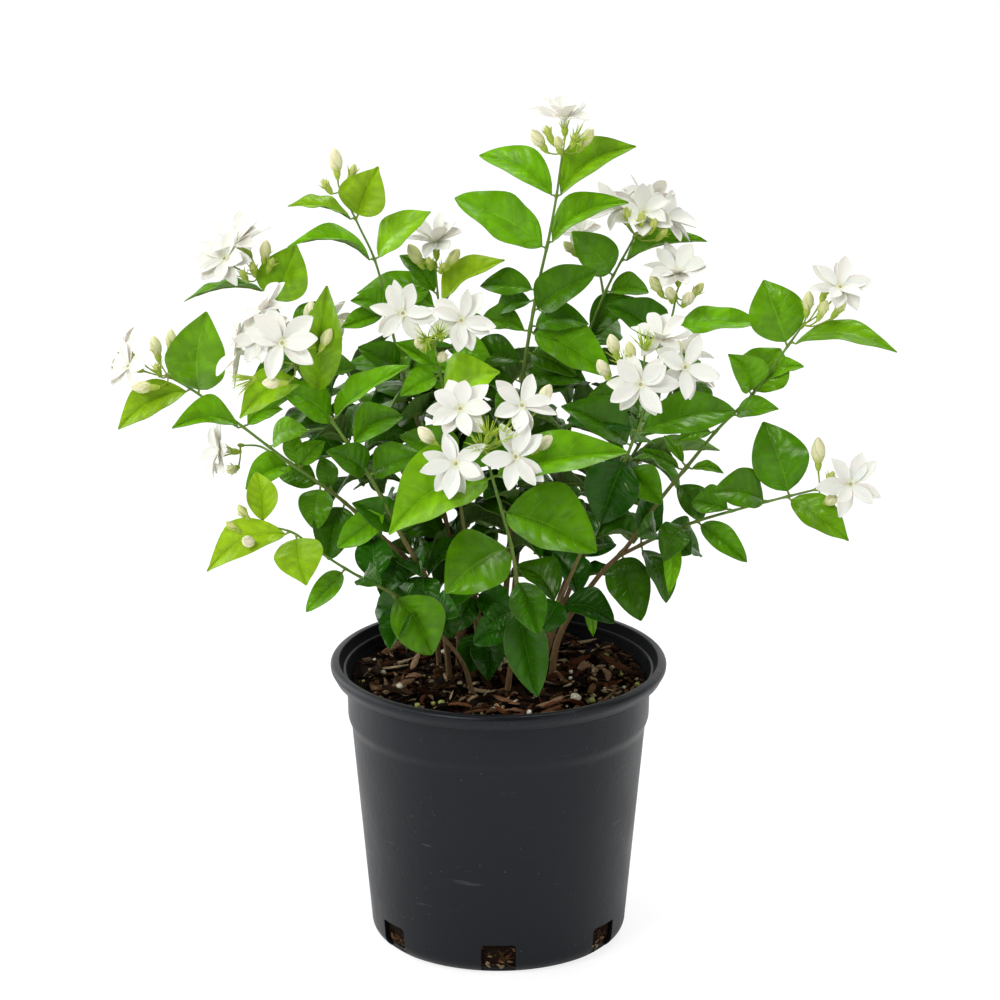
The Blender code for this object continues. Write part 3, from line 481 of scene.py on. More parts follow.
# Lamps: name, place, width, and power as shares of the key and the fill.
LAMPS = (
    ("key_lamp", (-1.1, -1.5, 1.7), 0.9, 1.0, 0.0),
    ("fill_lamp", (1.5, -1.0, 0.9), 1.6, 0.0, 1.0),
    ("top_lamp", (0.4, 0.6, 2.1), 0.8, 0.65, 0.0),
    ("rim_lamp", (-1.9, 0.6, 0.7), 2.8, 1.9, 0.0),
)

# ---- settings --------------------------------------------------------------------------------
def colour_property(name, description, default):
    """A setting for a colour, in linear values."""
    return FloatVectorProperty(name=name, description=description, default=default,
                               subtype="COLOR", size=3, min=0.0, max=1.0)


def length_property(name, description, default):
    """A setting for a length in metres."""
    return FloatProperty(name=name, description=description, default=default,
                         unit="LENGTH", min=0.0)


class JasminePot(bpy.types.PropertyGroup):
    sides: IntProperty(name="Sides", description="Facets round the turned pot", default=144, min=24)
    plastic: colour_property("Plastic", "Colour of the moulded plastic", (0.0048, 0.0054, 0.0078))
    scuff: colour_property("Scuffs", "Colour of the pale scuffs and specks", (0.16, 0.165, 0.17))


class JasmineMix(bpy.types.PropertyGroup):
    chips: IntProperty(name="Bark Chips", description="Chips of bark on the mix", default=1050, min=0)
    fibres: IntProperty(name="Fibres", description="Loose fibres on the mix", default=110, min=0)
    grains: IntProperty(name="Grains", description="Small pale grains on the mix", default=26, min=0)
    relief: length_property("Relief", "Height of the bumps in the mix", 0.0060)
    humus: colour_property("Humus", "Colour of the fine dark mix", (0.0070, 0.0035, 0.0018))
    bark: colour_property("Bark", "Colour of fresh bark", (0.260, 0.138, 0.060))
    splinter: colour_property("Splinters", "Colour of freshly split wood", (0.800, 0.610, 0.370))
    pellet: colour_property("Pellet", "Colour of the pale pellets", (0.86, 0.80, 0.62))


class JasmineCanes(bpy.types.PropertyGroup):
    sides: IntProperty(name="Sides", description="Facets round a cane", default=10, min=5)
    wood: colour_property("Wood", "Colour of an old cane", (0.170, 0.108, 0.046))
    green: colour_property("Green Cane", "Colour of a cane's young end", (0.130, 0.235, 0.035))


class JasmineLeaves(bpy.types.PropertyGroup):
    thickness: length_property("Thickness", "Thickness of a blade", 0.00032)
    pitch: length_property("Pair Pitch", "Distance between two pairs of leaves on a cane", 0.0104)
    old: colour_property("Old Leaf", "Colour of an old leaf", (0.012, 0.079, 0.0008))
    grown: colour_property("Grown Leaf", "Colour of a grown leaf", (0.128, 0.352, 0.0022))
    young: colour_property("Young Leaf", "Colour of a young leaf", (0.395, 0.620, 0.0140))
    underside: colour_property("Underside", "Colour of a blade's back", (0.220, 0.420, 0.080))


class JasmineFlowers(bpy.types.PropertyGroup):
    length: length_property("Petal Length", "Length of a petal", 0.0155)
    width: length_property("Petal Width", "Width of a petal", 0.0084)
    thickness: length_property("Petal Thickness", "Thickness of a petal", 0.00030)
    petal: colour_property("Petal", "Colour of a petal", (0.88, 0.865, 0.80))
    # The throat's dark yellow holds painted shade of the tube's opening as well as the throat's own yellow.
    throat: colour_property("Throat", "Colour of the flower's throat", (0.52, 0.48, 0.14))
    bud: colour_property("Bud", "Colour of a bud", (0.83, 0.80, 0.52))
    blush: colour_property("Blush", "Colour of a bud's tip", (0.84, 0.79, 0.54))
    unripe: colour_property("Unripe Bud", "Colour of a young bud", (0.56, 0.62, 0.14))
    stalk: colour_property("Stalk", "Colour of stalks", (0.230, 0.390, 0.035))
    sepal: colour_property("Sepal", "Colour of a young calyx", (0.480, 0.620, 0.080))


class JasmineStage(bpy.types.PropertyGroup):
    key: FloatProperty(name="Key", description="Power of the main lamp", default=25.5,
                       unit="POWER", min=0.0)
    fill: FloatProperty(name="Fill", description="Power of the lamp on the other side", default=8.6,
                        unit="POWER", min=0.0)
    sky: FloatProperty(name="Sky", description="Strength of the even light all round", default=0.38,
                       min=0.0)
    dark_side: FloatProperty(name="Dark Side", description="Strength of the studio's front in reflections",
                             default=0.06, min=0.0)
    floor: colour_property("Floor", "Colour of the floor", (0.86, 0.86, 0.86))


# ---- vectors and routes ----------------------------------------------------------------------
def unit(vector):
    """The vector of length 1 that points the same way."""
    return vector / np.linalg.norm(vector)


def heading(bearing, rise):
    """The unit vector at a bearing round +Z from +X and a rise above level, in degrees."""
    turn = math.radians(bearing)
    lift = math.radians(rise)
    return np.array((math.cos(lift) * math.cos(turn), math.cos(lift) * math.sin(turn), math.sin(lift)))


def across(direction):
    """Two unit vectors at right angles to a direction and to each other."""
    helper = np.array((0.0, 0.0, 1.0)) if abs(direction[2]) < 0.9 else np.array((0.0, 1.0, 0.0))
    first = unit(np.cross(direction, helper))
    return first, np.cross(direction, first)


def swung(direction, angle):
    """The unit vector at right angles to a direction, turned round it by an angle."""
    first, second = across(direction)
    return math.cos(angle) * first + math.sin(angle) * second


def smooth_route(points, steps=8):
    """A Catmull-Rom curve through a route's points."""
    points = np.array(points, float)
    padded = np.vstack((2 * points[0] - points[1], points, 2 * points[-1] - points[-2]))
    t = (np.arange(1, steps + 1) / steps)[:, None]
    smooth = [points[:1]]
    for a, b, c, d in zip(padded, padded[1:], padded[2:], padded[3:]):
        smooth.append(0.5 * (2 * b + (c - a) * t + (2 * a - 5 * b + 4 * c - d) * t ** 2
                             + (3 * b - a - 3 * c + d) * t ** 3))
    return np.vstack(smooth)


def taper(radii, along):
    """A cane's radius at a share of its length: it thins quickly at first."""
    return radii[0] + (0.78 * radii[1] - radii[0]) * along ** 0.6


class Shoot:
    """A cane or side shoot: its route, the radii at its ends and shares of its length."""

    def __init__(self, route, radii):
        self.route = smooth_route(route)
        steps = np.linalg.norm(np.diff(self.route, axis=0), axis=1)
        reach = np.concatenate(([0.0], np.cumsum(steps)))
        self.length = reach[-1]
        self.shares = reach / self.length
        self.radii = radii

    def place(self, along):
        """The point at a share of the length."""
        return np.array([np.interp(along, self.shares, self.route[:, k]) for k in range(3)])

    def direction(self, along):
        """Which way the shoot grows there."""
        return unit(self.place(min(along + 0.02, 1.0)) - self.place(max(along - 0.02, 0.0)))

    def radius(self, along):
        """How thick it is there."""
        return taper(self.radii, along)


def all_shoots():
    """Every cane, then every side shoot, by name."""
    shoots = {name: Shoot(route, (foot, tip)) for name, (foot, tip, route) in CANES.items()}
    for name, (parent, along, foot, tip, route) in SIDE_SHOOTS.items():
        start = shoots[parent].place(along)
        shoots[name] = Shoot((tuple(start), *route), (foot, tip))
    return shoots


# ---- surfaces --------------------------------------------------------------------------------
def new_object(name, data):
    """An object that is linked into the scene."""
    made = bpy.data.objects.new(name, data)
    bpy.context.scene.collection.objects.link(made)
    return made


@functools.lru_cache(None)
def sheet_faces(rows, columns):
    """Faces of a thin closed sheet of two grids, and which are upper (0) or behind (1)."""
    def spot(layer, i, j):
        return layer * rows * columns + i * columns + j

    upper = [(spot(0, i, j), spot(0, i, j + 1), spot(0, i + 1, j + 1), spot(0, i + 1, j))
             for i in range(rows - 1) for j in range(columns - 1)]
    behind = [tuple(corner + rows * columns for corner in reversed(face)) for face in upper]
    edge = ([(0, j) for j in range(columns)] + [(i, columns - 1) for i in range(1, rows)]
            + [(rows - 1, j) for j in range(columns - 2, -1, -1)]
            + [(i, 0) for i in range(rows - 2, 0, -1)])
    rim = [(spot(1, *here), spot(1, *there), spot(0, *there), spot(0, *here))
           for here, there in zip(edge, edge[1:] + edge[:1])]
    return upper + behind + rim, [0] * len(upper) + [1] * (len(behind) + len(rim))


@functools.lru_cache(None)
def tube_faces(rings, sides):
    """Faces of a closed tube: quads between its rings and a fan at each end."""
    faces = []
    for i in range(rings - 1):
        for k in range(sides):
            near = i * sides + k
            far = i * sides + (k + 1) % sides
            faces.append((near, far, far + sides, near + sides))
    last = (rings - 1) * sides
    for k in range(sides):
        faces.append(((k + 1) % sides, k, rings * sides))
        faces.append((last + k, last + (k + 1) % sides, rings * sides + 1))
    return faces


class Shape:
    """Gathers closed surfaces into one mesh, with the places and marks that finishes read."""

    def __init__(self):
        self.points = []
        self.places = []
        self.ages = []
        self.tones = []
        self.faces = []
        self.slots = []
        self.size = 0

    def add(self, points, faces, places, age, tone, slots):
        """Adds a closed surface, with a place and marks for each point and a material for each face."""
        count = len(points)
        self.points.append(points)
        self.places.append(places)
        self.ages.append(np.broadcast_to(age, count))
        self.tones.append(np.broadcast_to(tone, count))
        self.faces.extend([tuple([corner + self.size for corner in face]) for face in faces])
        self.slots.extend(slots)
        self.size += count

    def sheet(self, grid, thickness, age=0.5, tone=0.5, slots=(0, 0)):
        """A thin sheet from its upper grid of points, with one material for each face of it."""
        rows, columns = grid.shape[:2]
        normal = np.cross(np.gradient(grid, axis=1), np.gradient(grid, axis=0))
        normal /= np.linalg.norm(normal, axis=2, keepdims=True)
        points = np.vstack((grid.reshape(-1, 3), (grid - thickness * normal).reshape(-1, 3)))
        places = np.stack(np.meshgrid(np.linspace(0, 1, columns), np.linspace(0, 1, rows)), axis=-1)
        faces, sides = sheet_faces(rows, columns)
        self.add(points, faces, np.tile(places.reshape(-1, 2), (2, 1)), age, tone,
                 [slots[side] for side in sides])

    def tube(self, route, radii, sides=6, age=0.5, tone=0.5, slot=0, ages=None):
        """A closed tube along a route. The radii and ages are spread evenly along it."""
        route = np.asarray(route, float)
        count = len(route)
        shares = np.linspace(0, 1, count)
        radii = np.interp(shares, np.linspace(0, 1, len(radii)), radii)
        tangents = np.gradient(route, axis=0)
        turns = np.arange(sides) * math.tau / sides
        sideways = across(unit(tangents[0]))[0]
        rings = []
        for place, tangent, radius in zip(route, tangents, radii):
            direction = unit(tangent)
            sideways = unit(sideways - sideways.dot(direction) * direction)
            other = np.cross(direction, sideways)
            rings.append(place + radius * (np.cos(turns)[:, None] * sideways
                                           + np.sin(turns)[:, None] * other))
        points = np.vstack((*rings, route[:1], route[-1:]))
        places = np.stack(np.meshgrid(np.arange(sides) / sides, shares), axis=-1).reshape(-1, 2)
        places = np.vstack((places, (0.5, 0.0), (0.5, 1.0)))
        if ages is not None:
            age = np.interp(places[:, 1], np.linspace(0, 1, len(ages)), ages)
        faces = tube_faces(count, sides)
        self.add(points, faces, places, age, tone, [slot] * len(faces))

    def piece(self, name, materials, nodes=(), sharp=60):
        """Makes the gathered surfaces one object that rides on the plant's body."""
        mesh = bpy.data.meshes.new(name)
        mesh.from_pydata(np.vstack(self.points), [], self.faces)
        corners = np.empty(len(mesh.loops), np.int32)
        mesh.loops.foreach_get("vertex_index", corners)
        layer = mesh.uv_layers.new(name="surface")
        layer.uv.foreach_set("vector", np.vstack(self.places)[corners].ravel())
        for label, marks in (("age", self.ages), ("tone", self.tones)):
            mark = mesh.attributes.new(label, "FLOAT", "POINT")
            mark.data.foreach_set("value", np.concatenate(marks).astype(np.float32))
        for material in materials:
            mesh.materials.append(material)
        mesh.polygons.foreach_set("material_index", np.array(self.slots, np.int32))
        return dress(name, mesh, nodes, sharp)


def dress(name, mesh, nodes=(), sharp=60):
    """Puts a finished mesh in the scene as a piece of the plant."""
    mesh.shade_smooth()
    mesh.set_sharp_from_angle(angle=math.radians(sharp))
    made = new_object(name, mesh)
    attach(made, ROOT)
    if nodes:
        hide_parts(*nodes)
    return made


# ---- finishes --------------------------------------------------------------------------------
class Graph:
    """A node graph that is written as nested calls."""

    def __init__(self, tree):
        self.tree = tree

    def feed(self, socket, value):
        """Links a socket to another one, or sets it to a number or colour."""
        if isinstance(value, bpy.types.NodeSocket):
            self.tree.links.new(value, socket)
        elif socket.type == "RGBA":
            socket.default_value = (*value[:3], 1.0)
        else:
            socket.default_value = value

    def node(self, kind, values=(), out=0, **settings):
        """One output of a new node whose inputs and settings are given."""
        made = self.tree.nodes.new("ShaderNode" + kind)
        for key, value in settings.items():
            setattr(made, key, value)
        for socket, value in dict(values).items():
            self.feed(made.inputs[socket], value)
        return made.outputs[out]

    def split(self, vector):
        """A vector's x, y and z."""
        made = self.tree.nodes.new("ShaderNodeSeparateXYZ")
        self.feed(made.inputs[0], vector)
        return made.outputs

    def ray(self):
        """The kinds of ray that can meet a surface."""
        return self.tree.nodes.new("ShaderNodeLightPath").outputs

    def math(self, operation, *values):
        return self.node("Math", enumerate(values), operation=operation)

    def times(self, first, second):
        return self.math("MULTIPLY", first, second)

    def most(self, first, second):
        return self.math("MAXIMUM", first, second)

    def mix(self, factor, first, second):
        """A colour between two."""
        return self.node("Mix", {0: factor, 6: first, 7: second}, out=2, data_type="RGBA")


class Finish(Graph):
    """A material, with the marks, grains and steps that finishes are made of."""

    def __init__(self, name, roughness, **constants):
        self.material = bpy.data.materials.new(name)
        self.material.use_nodes = True
        super().__init__(self.material.node_tree)
        self.shader = self.tree.nodes["Principled BSDF"]
        self.set("Roughness", roughness)
        # A socket's name is written in small letters, such as specular_ior_level.
        for socket, value in constants.items():
            self.set(socket.replace("_", " ").title().replace("Ior", "IOR"), value)

    def set(self, socket, value):
        """Sets or links one of the shader's own sockets."""
        self.feed(self.shader.inputs[socket], value)

    def scale(self, colour, factor):
        """A colour made lighter or darker."""
        if isinstance(colour, bpy.types.NodeSocket):
            return self.node("VectorMath", {0: colour, "Scale": factor}, operation="SCALE")
        return tuple(min(channel * factor, 1.0) for channel in colour)

    def vary(self, colour, share, low, high):
        """From the colour times low to the colour times high."""
        return self.mix(share, self.scale(colour, low), self.scale(colour, high))

    def soft_step(self, value, start, end, low=0.0, high=1.0):
        """From low to high in a soft S while the value goes from start to end."""
        values = {"Value": value, "From Min": start, "From Max": end, "To Min": low, "To Max": high}
        return self.node("MapRange", values, interpolation_type="SMOOTHSTEP")

    def mark(self, name):
        """The age or tone that each point carries."""
        return self.node("Attribute", out=2, attribute_name=name)

    def place(self):
        """The surface's own u and v."""
        return self.split(self.node("UVMap", uv_map="surface"))[:2]

    def solid(self, stretch=(1.0, 1.0, 1.0)):
        """The place in space, so that a grain runs through every piece alike."""
        return self.node("Mapping", {"Vector": self.node("TexCoord", out=3), "Scale": stretch})

    def noise(self, scale, detail=3.0, roughness=0.55, vector=None, distortion=0.0):
        """A cloudy grain, in space where no other place is given."""
        values = {"Scale": scale, "Detail": detail, "Roughness": roughness, "Distortion": distortion,
                  "Vector": vector or self.solid()}
        return self.node("TexNoise", values)

    def cells(self, scale, feature="F1"):
        """The distance to the nearest of many scattered points."""
        return self.node("TexVoronoi", {"Scale": scale, "Vector": self.solid()}, feature=feature)

    def bump(self, height, distance, strength=1.0, below=None):
        """A normal that follows a height, on top of the bump below it."""
        values = {"Height": height, "Distance": distance, "Strength": strength}
        if below is not None:
            values["Normal"] = below
        return self.node("Bump", values)


def plastic_finish(settings):
    """Moulded plastic with a faint orange peel, pale specks and scratches, and a duller inside that is
    darkened with painted shade.
    """
    made = Finish("moulded_plastic", 0.40, specular_ior_level=0.28, specular_tint=(0.90, 0.94, 1.0))
    cloud = made.noise(26.0, 4.0)
    specks = made.soft_step(made.cells(300.0), 0.085, 0.05)
    sparse = made.soft_step(made.noise(60.0, 1.0), 0.50, 0.62)
    lines = made.noise(34.0, 3.0, vector=made.solid((1.0, 1.0, 9.0)), distortion=0.6)
    scratches = made.soft_step(lines, 0.68, 0.74, high=0.24)
    pale = made.most(made.times(specks, sparse), scratches)
    shade = made.vary(settings.plastic, cloud, 0.86, 1.16)
    # The face's direction along the radius is negative on the pot's inside.
    facing = {0: made.node("NewGeometry", out=1), 1: made.solid((1.0, 1.0, 0.0))}
    outward = made.node("VectorMath", facing, out=1, operation="DOT_PRODUCT")
    inside = made.soft_step(outward, -0.020, -0.055)
    scuffed = made.mix(made.times(pale, 0.65), shade, settings.scuff)
    # Painted shade: faces that look inwards get only 0.12 of the plastic's colour.
    made.set("Base Color", made.mix(inside, scuffed, made.scale(settings.plastic, 0.12)))
    gloss = made.soft_step(cloud, 0.3, 0.7, 0.32, 0.42)
    made.set("Roughness", made.most(gloss, made.times(inside, 0.95)))
    orange_peel = made.bump(made.noise(420.0, 2.0), 0.00006)
    made.set("Normal", made.bump(cloud, 0.0006, below=orange_peel))
    return made.material


def humus_finish(settings):
    """Fine dark mix: crumbs, tan flecks and short fibres."""
    made = Finish("fine_mix", 0.92, specular_ior_level=0.08)
    crumbs = made.cells(520.0)
    clods = made.noise(180.0, 5.0, 0.65)
    flecks = made.soft_step(made.cells(240.0, feature="SMOOTH_F1"), 0.20, 0.12)
    thin = made.noise(70.0, 4.0, vector=made.solid((1.0, 6.0, 2.0)), distortion=1.5)
    threads = made.soft_step(thin, 0.64, 0.70)
    dark = made.vary(settings.humus, clods, 0.45, 2.6)
    tan = made.mix(flecks, dark, made.scale(settings.bark, 0.35))
    made.set("Base Color", made.mix(threads, tan, made.scale(settings.bark, 0.6)))
    made.set("Normal", made.bump(crumbs, 0.0007, below=made.bump(clods, 0.0012)))
    return made.material


def bark_chip_finish(settings):
    """Broken bark with a grain along each chip, from almost black to fresh tan."""
    made = Finish("bark_chip", 0.80, specular_ior_level=0.05)
    u, v = made.place()
    age = made.mark("age")
    tone = made.mark("tone")
    lengthwise = made.node("CombineXYZ", {"X": made.times(u, 9.0), "Y": made.times(v, 1.2), "Z": age})
    grain = made.noise(5.0, 5.0, 0.7, vector=lengthwise, distortion=0.4)
    bark = made.mix(made.soft_step(tone, 0.28, 0.76), made.scale(settings.humus, 1.3),
                    made.scale(settings.bark, 0.90))
    bark = made.mix(made.soft_step(tone, 0.62, 0.94), bark, settings.splinter)
    bark = made.mix(made.soft_step(age, 0.72, 0.95, high=0.6), bark, RED_BARK)
    made.set("Base Color", made.vary(bark, made.soft_step(grain, 0.32, 0.55), 0.28, 1.0))
    crumbs = made.noise(900.0, 3.0)
    made.set("Normal", made.bump(crumbs, 0.0004, below=made.bump(grain, 0.0014)))
    return made.material


def pellet_finish(name, colour):
    """A dull crumbly grain."""
    made = Finish(name, 0.75)
    pits = made.noise(900.0, 4.0, 0.65)
    made.set("Base Color", made.vary(colour, made.soft_step(pits, 0.35, 0.65), 0.55, 1.0))
    made.set("Normal", made.bump(pits, 0.0005))
    return made.material


def cane_finish(settings):
    """Brown ridged bark at the foot that turns to smooth green skin towards the tip."""
    made = Finish("cane_skin", 0.55, specular_ior_level=0.20)
    age = made.mark("age")
    ridges = made.noise(160.0, 5.0, 0.65, vector=made.solid((3.0, 3.0, 0.5)), distortion=0.5)
    spots = made.soft_step(made.cells(420.0), 0.22, 0.10)
    wood = made.vary(settings.wood, ridges, 0.40, 1.55)
    wood = made.mix(made.times(spots, 0.5), wood, LENTICEL)
    skin = made.vary(settings.green, ridges, 0.70, 1.30)
    edge = made.math("ADD", age, made.times(made.noise(60.0), 0.16))
    made.set("Base Color", made.mix(made.soft_step(edge, 0.42, 0.80), wood, skin))
    made.set("Roughness", made.soft_step(age, 0.3, 0.9, 0.72, 0.45))
    depth = made.soft_step(age, 0.2, 0.9, 0.9, 0.15)
    made.set("Normal", made.bump(made.times(ridges, depth), 0.0007))
    return made.material


def vein_mask(made):
    """The midrib, the side veins that curve forward from it, and the swelling between them."""
    u, v = made.place()
    side = made.math("ABSOLUTE", made.math("MULTIPLY_ADD", u, 2.0, -1.0))
    rib_width = made.math("MULTIPLY_ADD", v, -0.045, 0.075)
    rib = made.soft_step(made.math("DIVIDE", side, rib_width), 1.0, 0.35)
    lean = made.times(made.math("POWER", side, VEIN_CURVE), VEIN_SLANT)
    wander = made.times(made.noise(90.0, 2.0), 0.035)
    phase = made.times(made.math("ADD", made.math("SUBTRACT", v, lean), wander), VEIN_PAIRS)
    gap = made.math("ABSOLUTE", made.math("SUBTRACT", made.math("FRACT", phase), 0.5))
    branch = made.times(made.soft_step(gap, 0.075, 0.015), made.soft_step(side, 0.96, 0.45))
    edge = made.times(made.soft_step(side, 0.0, 0.3), made.soft_step(side, 1.0, 0.6))
    return rib, branch, made.times(made.soft_step(gap, 0.0, 0.5), edge)


def leaf_finish(settings):
    """A glossy blade: dark when old, yellow-green when young, with pale pressed-in veins."""
    made = Finish("leaf_face", 0.30, specular_ior_level=0.24, specular_tint=(0.92, 1.0, 0.70))
    age = made.mark("age")
    rib, branch, puff = vein_mask(made)
    blade = made.mix(made.soft_step(age, 0.05, 0.50), settings.old, settings.grown)
    blade = made.mix(made.soft_step(age, 0.48, 1.0), blade, settings.young)
    blade = made.vary(blade, made.mark("tone"), 0.70, 1.30)
    mottle = made.noise(230.0, 4.0, 0.6)
    blade = made.vary(blade, made.soft_step(mottle, 0.35, 0.75, high=0.30), 1.0, 0.62)
    patches = made.soft_step(made.noise(85.0, 2.0, 0.5, distortion=0.8), 0.36, 0.64)
    blade = made.vary(blade, patches, 0.86, 1.14)
    # Painted highlight and shade on the quilting: the swellings between the side veins are lighter, and the
    # veins, midrib and margin a little darker.
    blade = made.vary(blade, puff, 0.95, 1.09)
    vein = made.most(made.times(rib, 0.45), made.times(branch, 0.16))
    light = made.mix(0.35, made.scale(blade, 1.9), VEIN_GREEN)
    made.set("Base Color", made.mix(vein, blade, light))
    made.set("Roughness", made.soft_step(mottle, 0.3, 0.75, 0.20, 0.34))
    net = made.bump(made.cells(1500.0, feature="DISTANCE_TO_EDGE"), 0.00010, 0.5)
    pressed = made.most(made.times(rib, 0.8), made.times(branch, 0.5))
    veined = made.bump(made.math("SUBTRACT", 1.0, pressed), 0.00018, below=net)
    made.set("Normal", made.bump(made.times(puff, patches), 0.0003, below=veined))
    return made.material


def underside_finish(settings):
    """The matt, paler back of a blade, on which the veins stand proud."""
    made = Finish("leaf_back", 0.58, specular_ior_level=0.08)
    rib, branch, puff = vein_mask(made)
    blade = made.vary(settings.underside, made.soft_step(made.mark("age"), 0.0, 0.9), 0.40, 1.0)
    blade = made.vary(blade, made.times(made.noise(260.0, 4.0), 0.5), 1.0, 0.6)
    vein = made.most(rib, made.times(branch, 0.6))
    made.set("Base Color", made.mix(made.times(vein, 0.55), blade, BACK_VEIN_GREEN))
    made.set("Normal", made.bump(vein, 0.0003, below=made.bump(puff, 0.0006)))
    return made.material


def petal_finish(settings):
    """A soft white petal with fine lines along it, a little green and yellow at its foot."""
    made = Finish("petal_skin", 0.50, subsurface_weight=0.12, subsurface_scale=0.002)
    u, v = made.place()
    lengthwise = made.node("CombineXYZ", {"X": made.times(u, 14.0), "Y": v, "Z": made.mark("tone")})
    lines = made.noise(2.0, 3.0, 0.6, vector=lengthwise, distortion=0.2)
    shade = made.times(made.soft_step(lines, 0.35, 0.75), 0.20)
    white = made.vary(settings.petal, shade, 1.0, 0.86)
    white = made.mix(made.times(made.noise(240.0, 3.0), 0.12), white, PETAL_CLOUD)
    foot = made.soft_step(v, 0.16, 0.0, high=0.75)
    made.set("Base Color", made.mix(foot, white, PETAL_FOOT))
    made.set("Normal", made.bump(lines, 0.00025, 0.6))
    return made.material


def throat_finish(settings):
    """The cap over the tube's mouth: yellow of its own, with painted shade of the opening darkening its
    middle.
    """
    made = Finish("flower_throat", 0.6)
    v = made.place()[1]
    grain = made.noise(900.0, 3.0)
    yellow = made.vary(settings.throat, made.soft_step(grain, 0.3, 0.7), 1.0, 0.7)
    # Painted shade: the pale rim goes over to the darker yellow in the middle, where the tube's opening
    # would lie in shade.
    made.set("Base Color", made.mix(made.soft_step(v, 0.05, 0.70), THROAT_RIM, yellow))
    made.set("Normal", made.bump(grain, 0.0003))
    return made.material


def bud_finish(settings):
    """A closed bud: cream, green at the foot, blushed at the tip, with folds that wind round it."""
    made = Finish("bud_skin", 0.48, subsurface_weight=0.1, subsurface_scale=0.002)
    u, v = made.place()
    wind = made.math("FRACT", made.math("ADD", made.times(u, 4.0), made.times(v, 1.3)))
    seam = made.soft_step(made.math("ABSOLUTE", made.math("SUBTRACT", wind, 0.5)), 0.10, 0.0)
    grain = made.noise(500.0, 3.0)
    cream = made.mix(made.soft_step(v, 0.45, 1.0), settings.bud, settings.blush)
    cream = made.mix(made.times(grain, 0.35), cream, BUD_CLOUD)
    green = made.mix(made.soft_step(v, 0.40, 0.08), cream, settings.unripe)
    green = made.mix(made.mark("age"), green, settings.unripe)
    made.set("Base Color", made.mix(made.times(seam, 0.16), green, BUD_SEAM))
    made.set("Normal", made.bump(seam, 0.00025, below=made.bump(grain, 0.0002)))
    return made.material


def stalk_finish(settings):
    """Green stalks and calyces, yellower where they are young."""
    made = Finish("green_stalk", 0.50, specular_ior_level=0.20)
    streaks = made.noise(300.0, 4.0, vector=made.solid((2.0, 2.0, 0.6)))
    green = made.mix(made.mark("age"), made.scale(settings.stalk, 0.50), settings.sepal)
    made.set("Base Color", made.vary(green, streaks, 0.65, 1.3))
    made.set("Normal", made.bump(streaks, 0.0003))
    return made.material


# ---- pot -------------------------------------------------------------------------------------
def between(start, end, steps, ease=False):
    """Points from a start to an end, without the start, evenly or in a soft S."""
    points = []
    for i in range(1, steps + 1):
        share = i / steps
        bend = share * share * (3 - 2 * share) if ease else share
        points.append((start[0] + (end[0] - start[0]) * bend, start[1] + (end[1] - start[1]) * share))
    return points


def arc(middle, radius, start, end, steps):
    """Points on an arc between two angles in degrees, from the radius outwards and up."""
    turns = [math.radians(start + (end - start) * i / steps) for i in range(steps + 1)]
    return [(middle[0] + radius * math.cos(turn), middle[1] + radius * math.sin(turn)) for turn in turns]


def corner_arc(inset, steps):
    """The rounded bottom corner from the floor out to the wall, moved in by the inset."""
    middle = (WALL_BOTTOM_RADIUS - CORNER, CORNER)
    return arc(middle, CORNER - inset, -90, 0, steps)


def pot_outline():
    """The pot's section: out along the underside, up the outside, over the lip and down inside."""
    foot_inner = WALL_BOTTOM_RADIUS - CORNER - FOOT_WIDTH
    lip_inner = LIP_RADIUS - LIP_BAND
    lip_bottom = POT_HEIGHT - LIP_DEPTH
    wall_top = COLLAR_BOTTOM - STEP_HEIGHT
    wall_start = (WALL_BOTTOM_RADIUS, CORNER)
    wall_end = (WALL_TOP_RADIUS, wall_top)
    collar_foot = (COLLAR_RADIUS - COLLAR_DRAFT, COLLAR_BOTTOM)
    groove = POT_HEIGHT - GROOVE_DROP - GROOVE_ROUND
    skirt = LIP_RADIUS - LIP_SKIRT
    skirt_inner = skirt - 2 * SKIRT_ROUND
    skirt_edge = lip_bottom + SKIRT_ROUND
    outside = [(FLOOR_MIDDLE, FLOOR_UNDERSIDE), (foot_inner - FOOT_SLOPE, FLOOR_UNDERSIDE),
               (foot_inner, 0.0)]
    outside += corner_arc(0.0, 12)
    outside += between(wall_start, wall_end, 18)
    outside += between(wall_end, collar_foot, 6, ease=True)
    outside += between(collar_foot, (COLLAR_RADIUS, lip_bottom - 0.0005), 4)
    outside += arc((COLLAR_RADIUS + GROOVE_ROUND, groove), GROOVE_ROUND, 180, 90, 4)
    outside += arc((skirt_inner - GROOVE_ROUND, groove), GROOVE_ROUND, 90, 0, 4)
    outside += arc((skirt - SKIRT_ROUND, skirt_edge), SKIRT_ROUND, 180, 360, 5)
    outside += between((skirt, skirt_edge), (LIP_RADIUS - 0.0002, POT_HEIGHT - 0.0038), 3)
    outside += arc((LIP_RADIUS - LIP_ROUND, POT_HEIGHT - 0.0024), LIP_ROUND, -10, 80, 7)
    collar_inner = COLLAR_RADIUS - WALL
    lip_foot = (lip_inner, POT_HEIGHT - 0.0013)
    collar_top = (collar_inner, lip_bottom - 0.003)
    collar_foot = (collar_inner - COLLAR_DRAFT, COLLAR_BOTTOM)
    wall_end = (WALL_TOP_RADIUS - WALL, wall_top)
    inside = arc((lip_inner + LIP_INNER_ROUND, POT_HEIGHT - 0.0013), LIP_INNER_ROUND, 95, 180, 5)
    inside += between(lip_foot, collar_top, 3)
    inside += between(collar_top, collar_foot, 3)
    inside += between(collar_foot, wall_end, 3)
    inside += between(wall_end, (WALL_BOTTOM_RADIUS - FLOOR, CORNER), 12)
    inside += corner_arc(FLOOR, 8)[-2::-1]
    inside.append((FLOOR_MIDDLE, FLOOR))
    return outside + inside


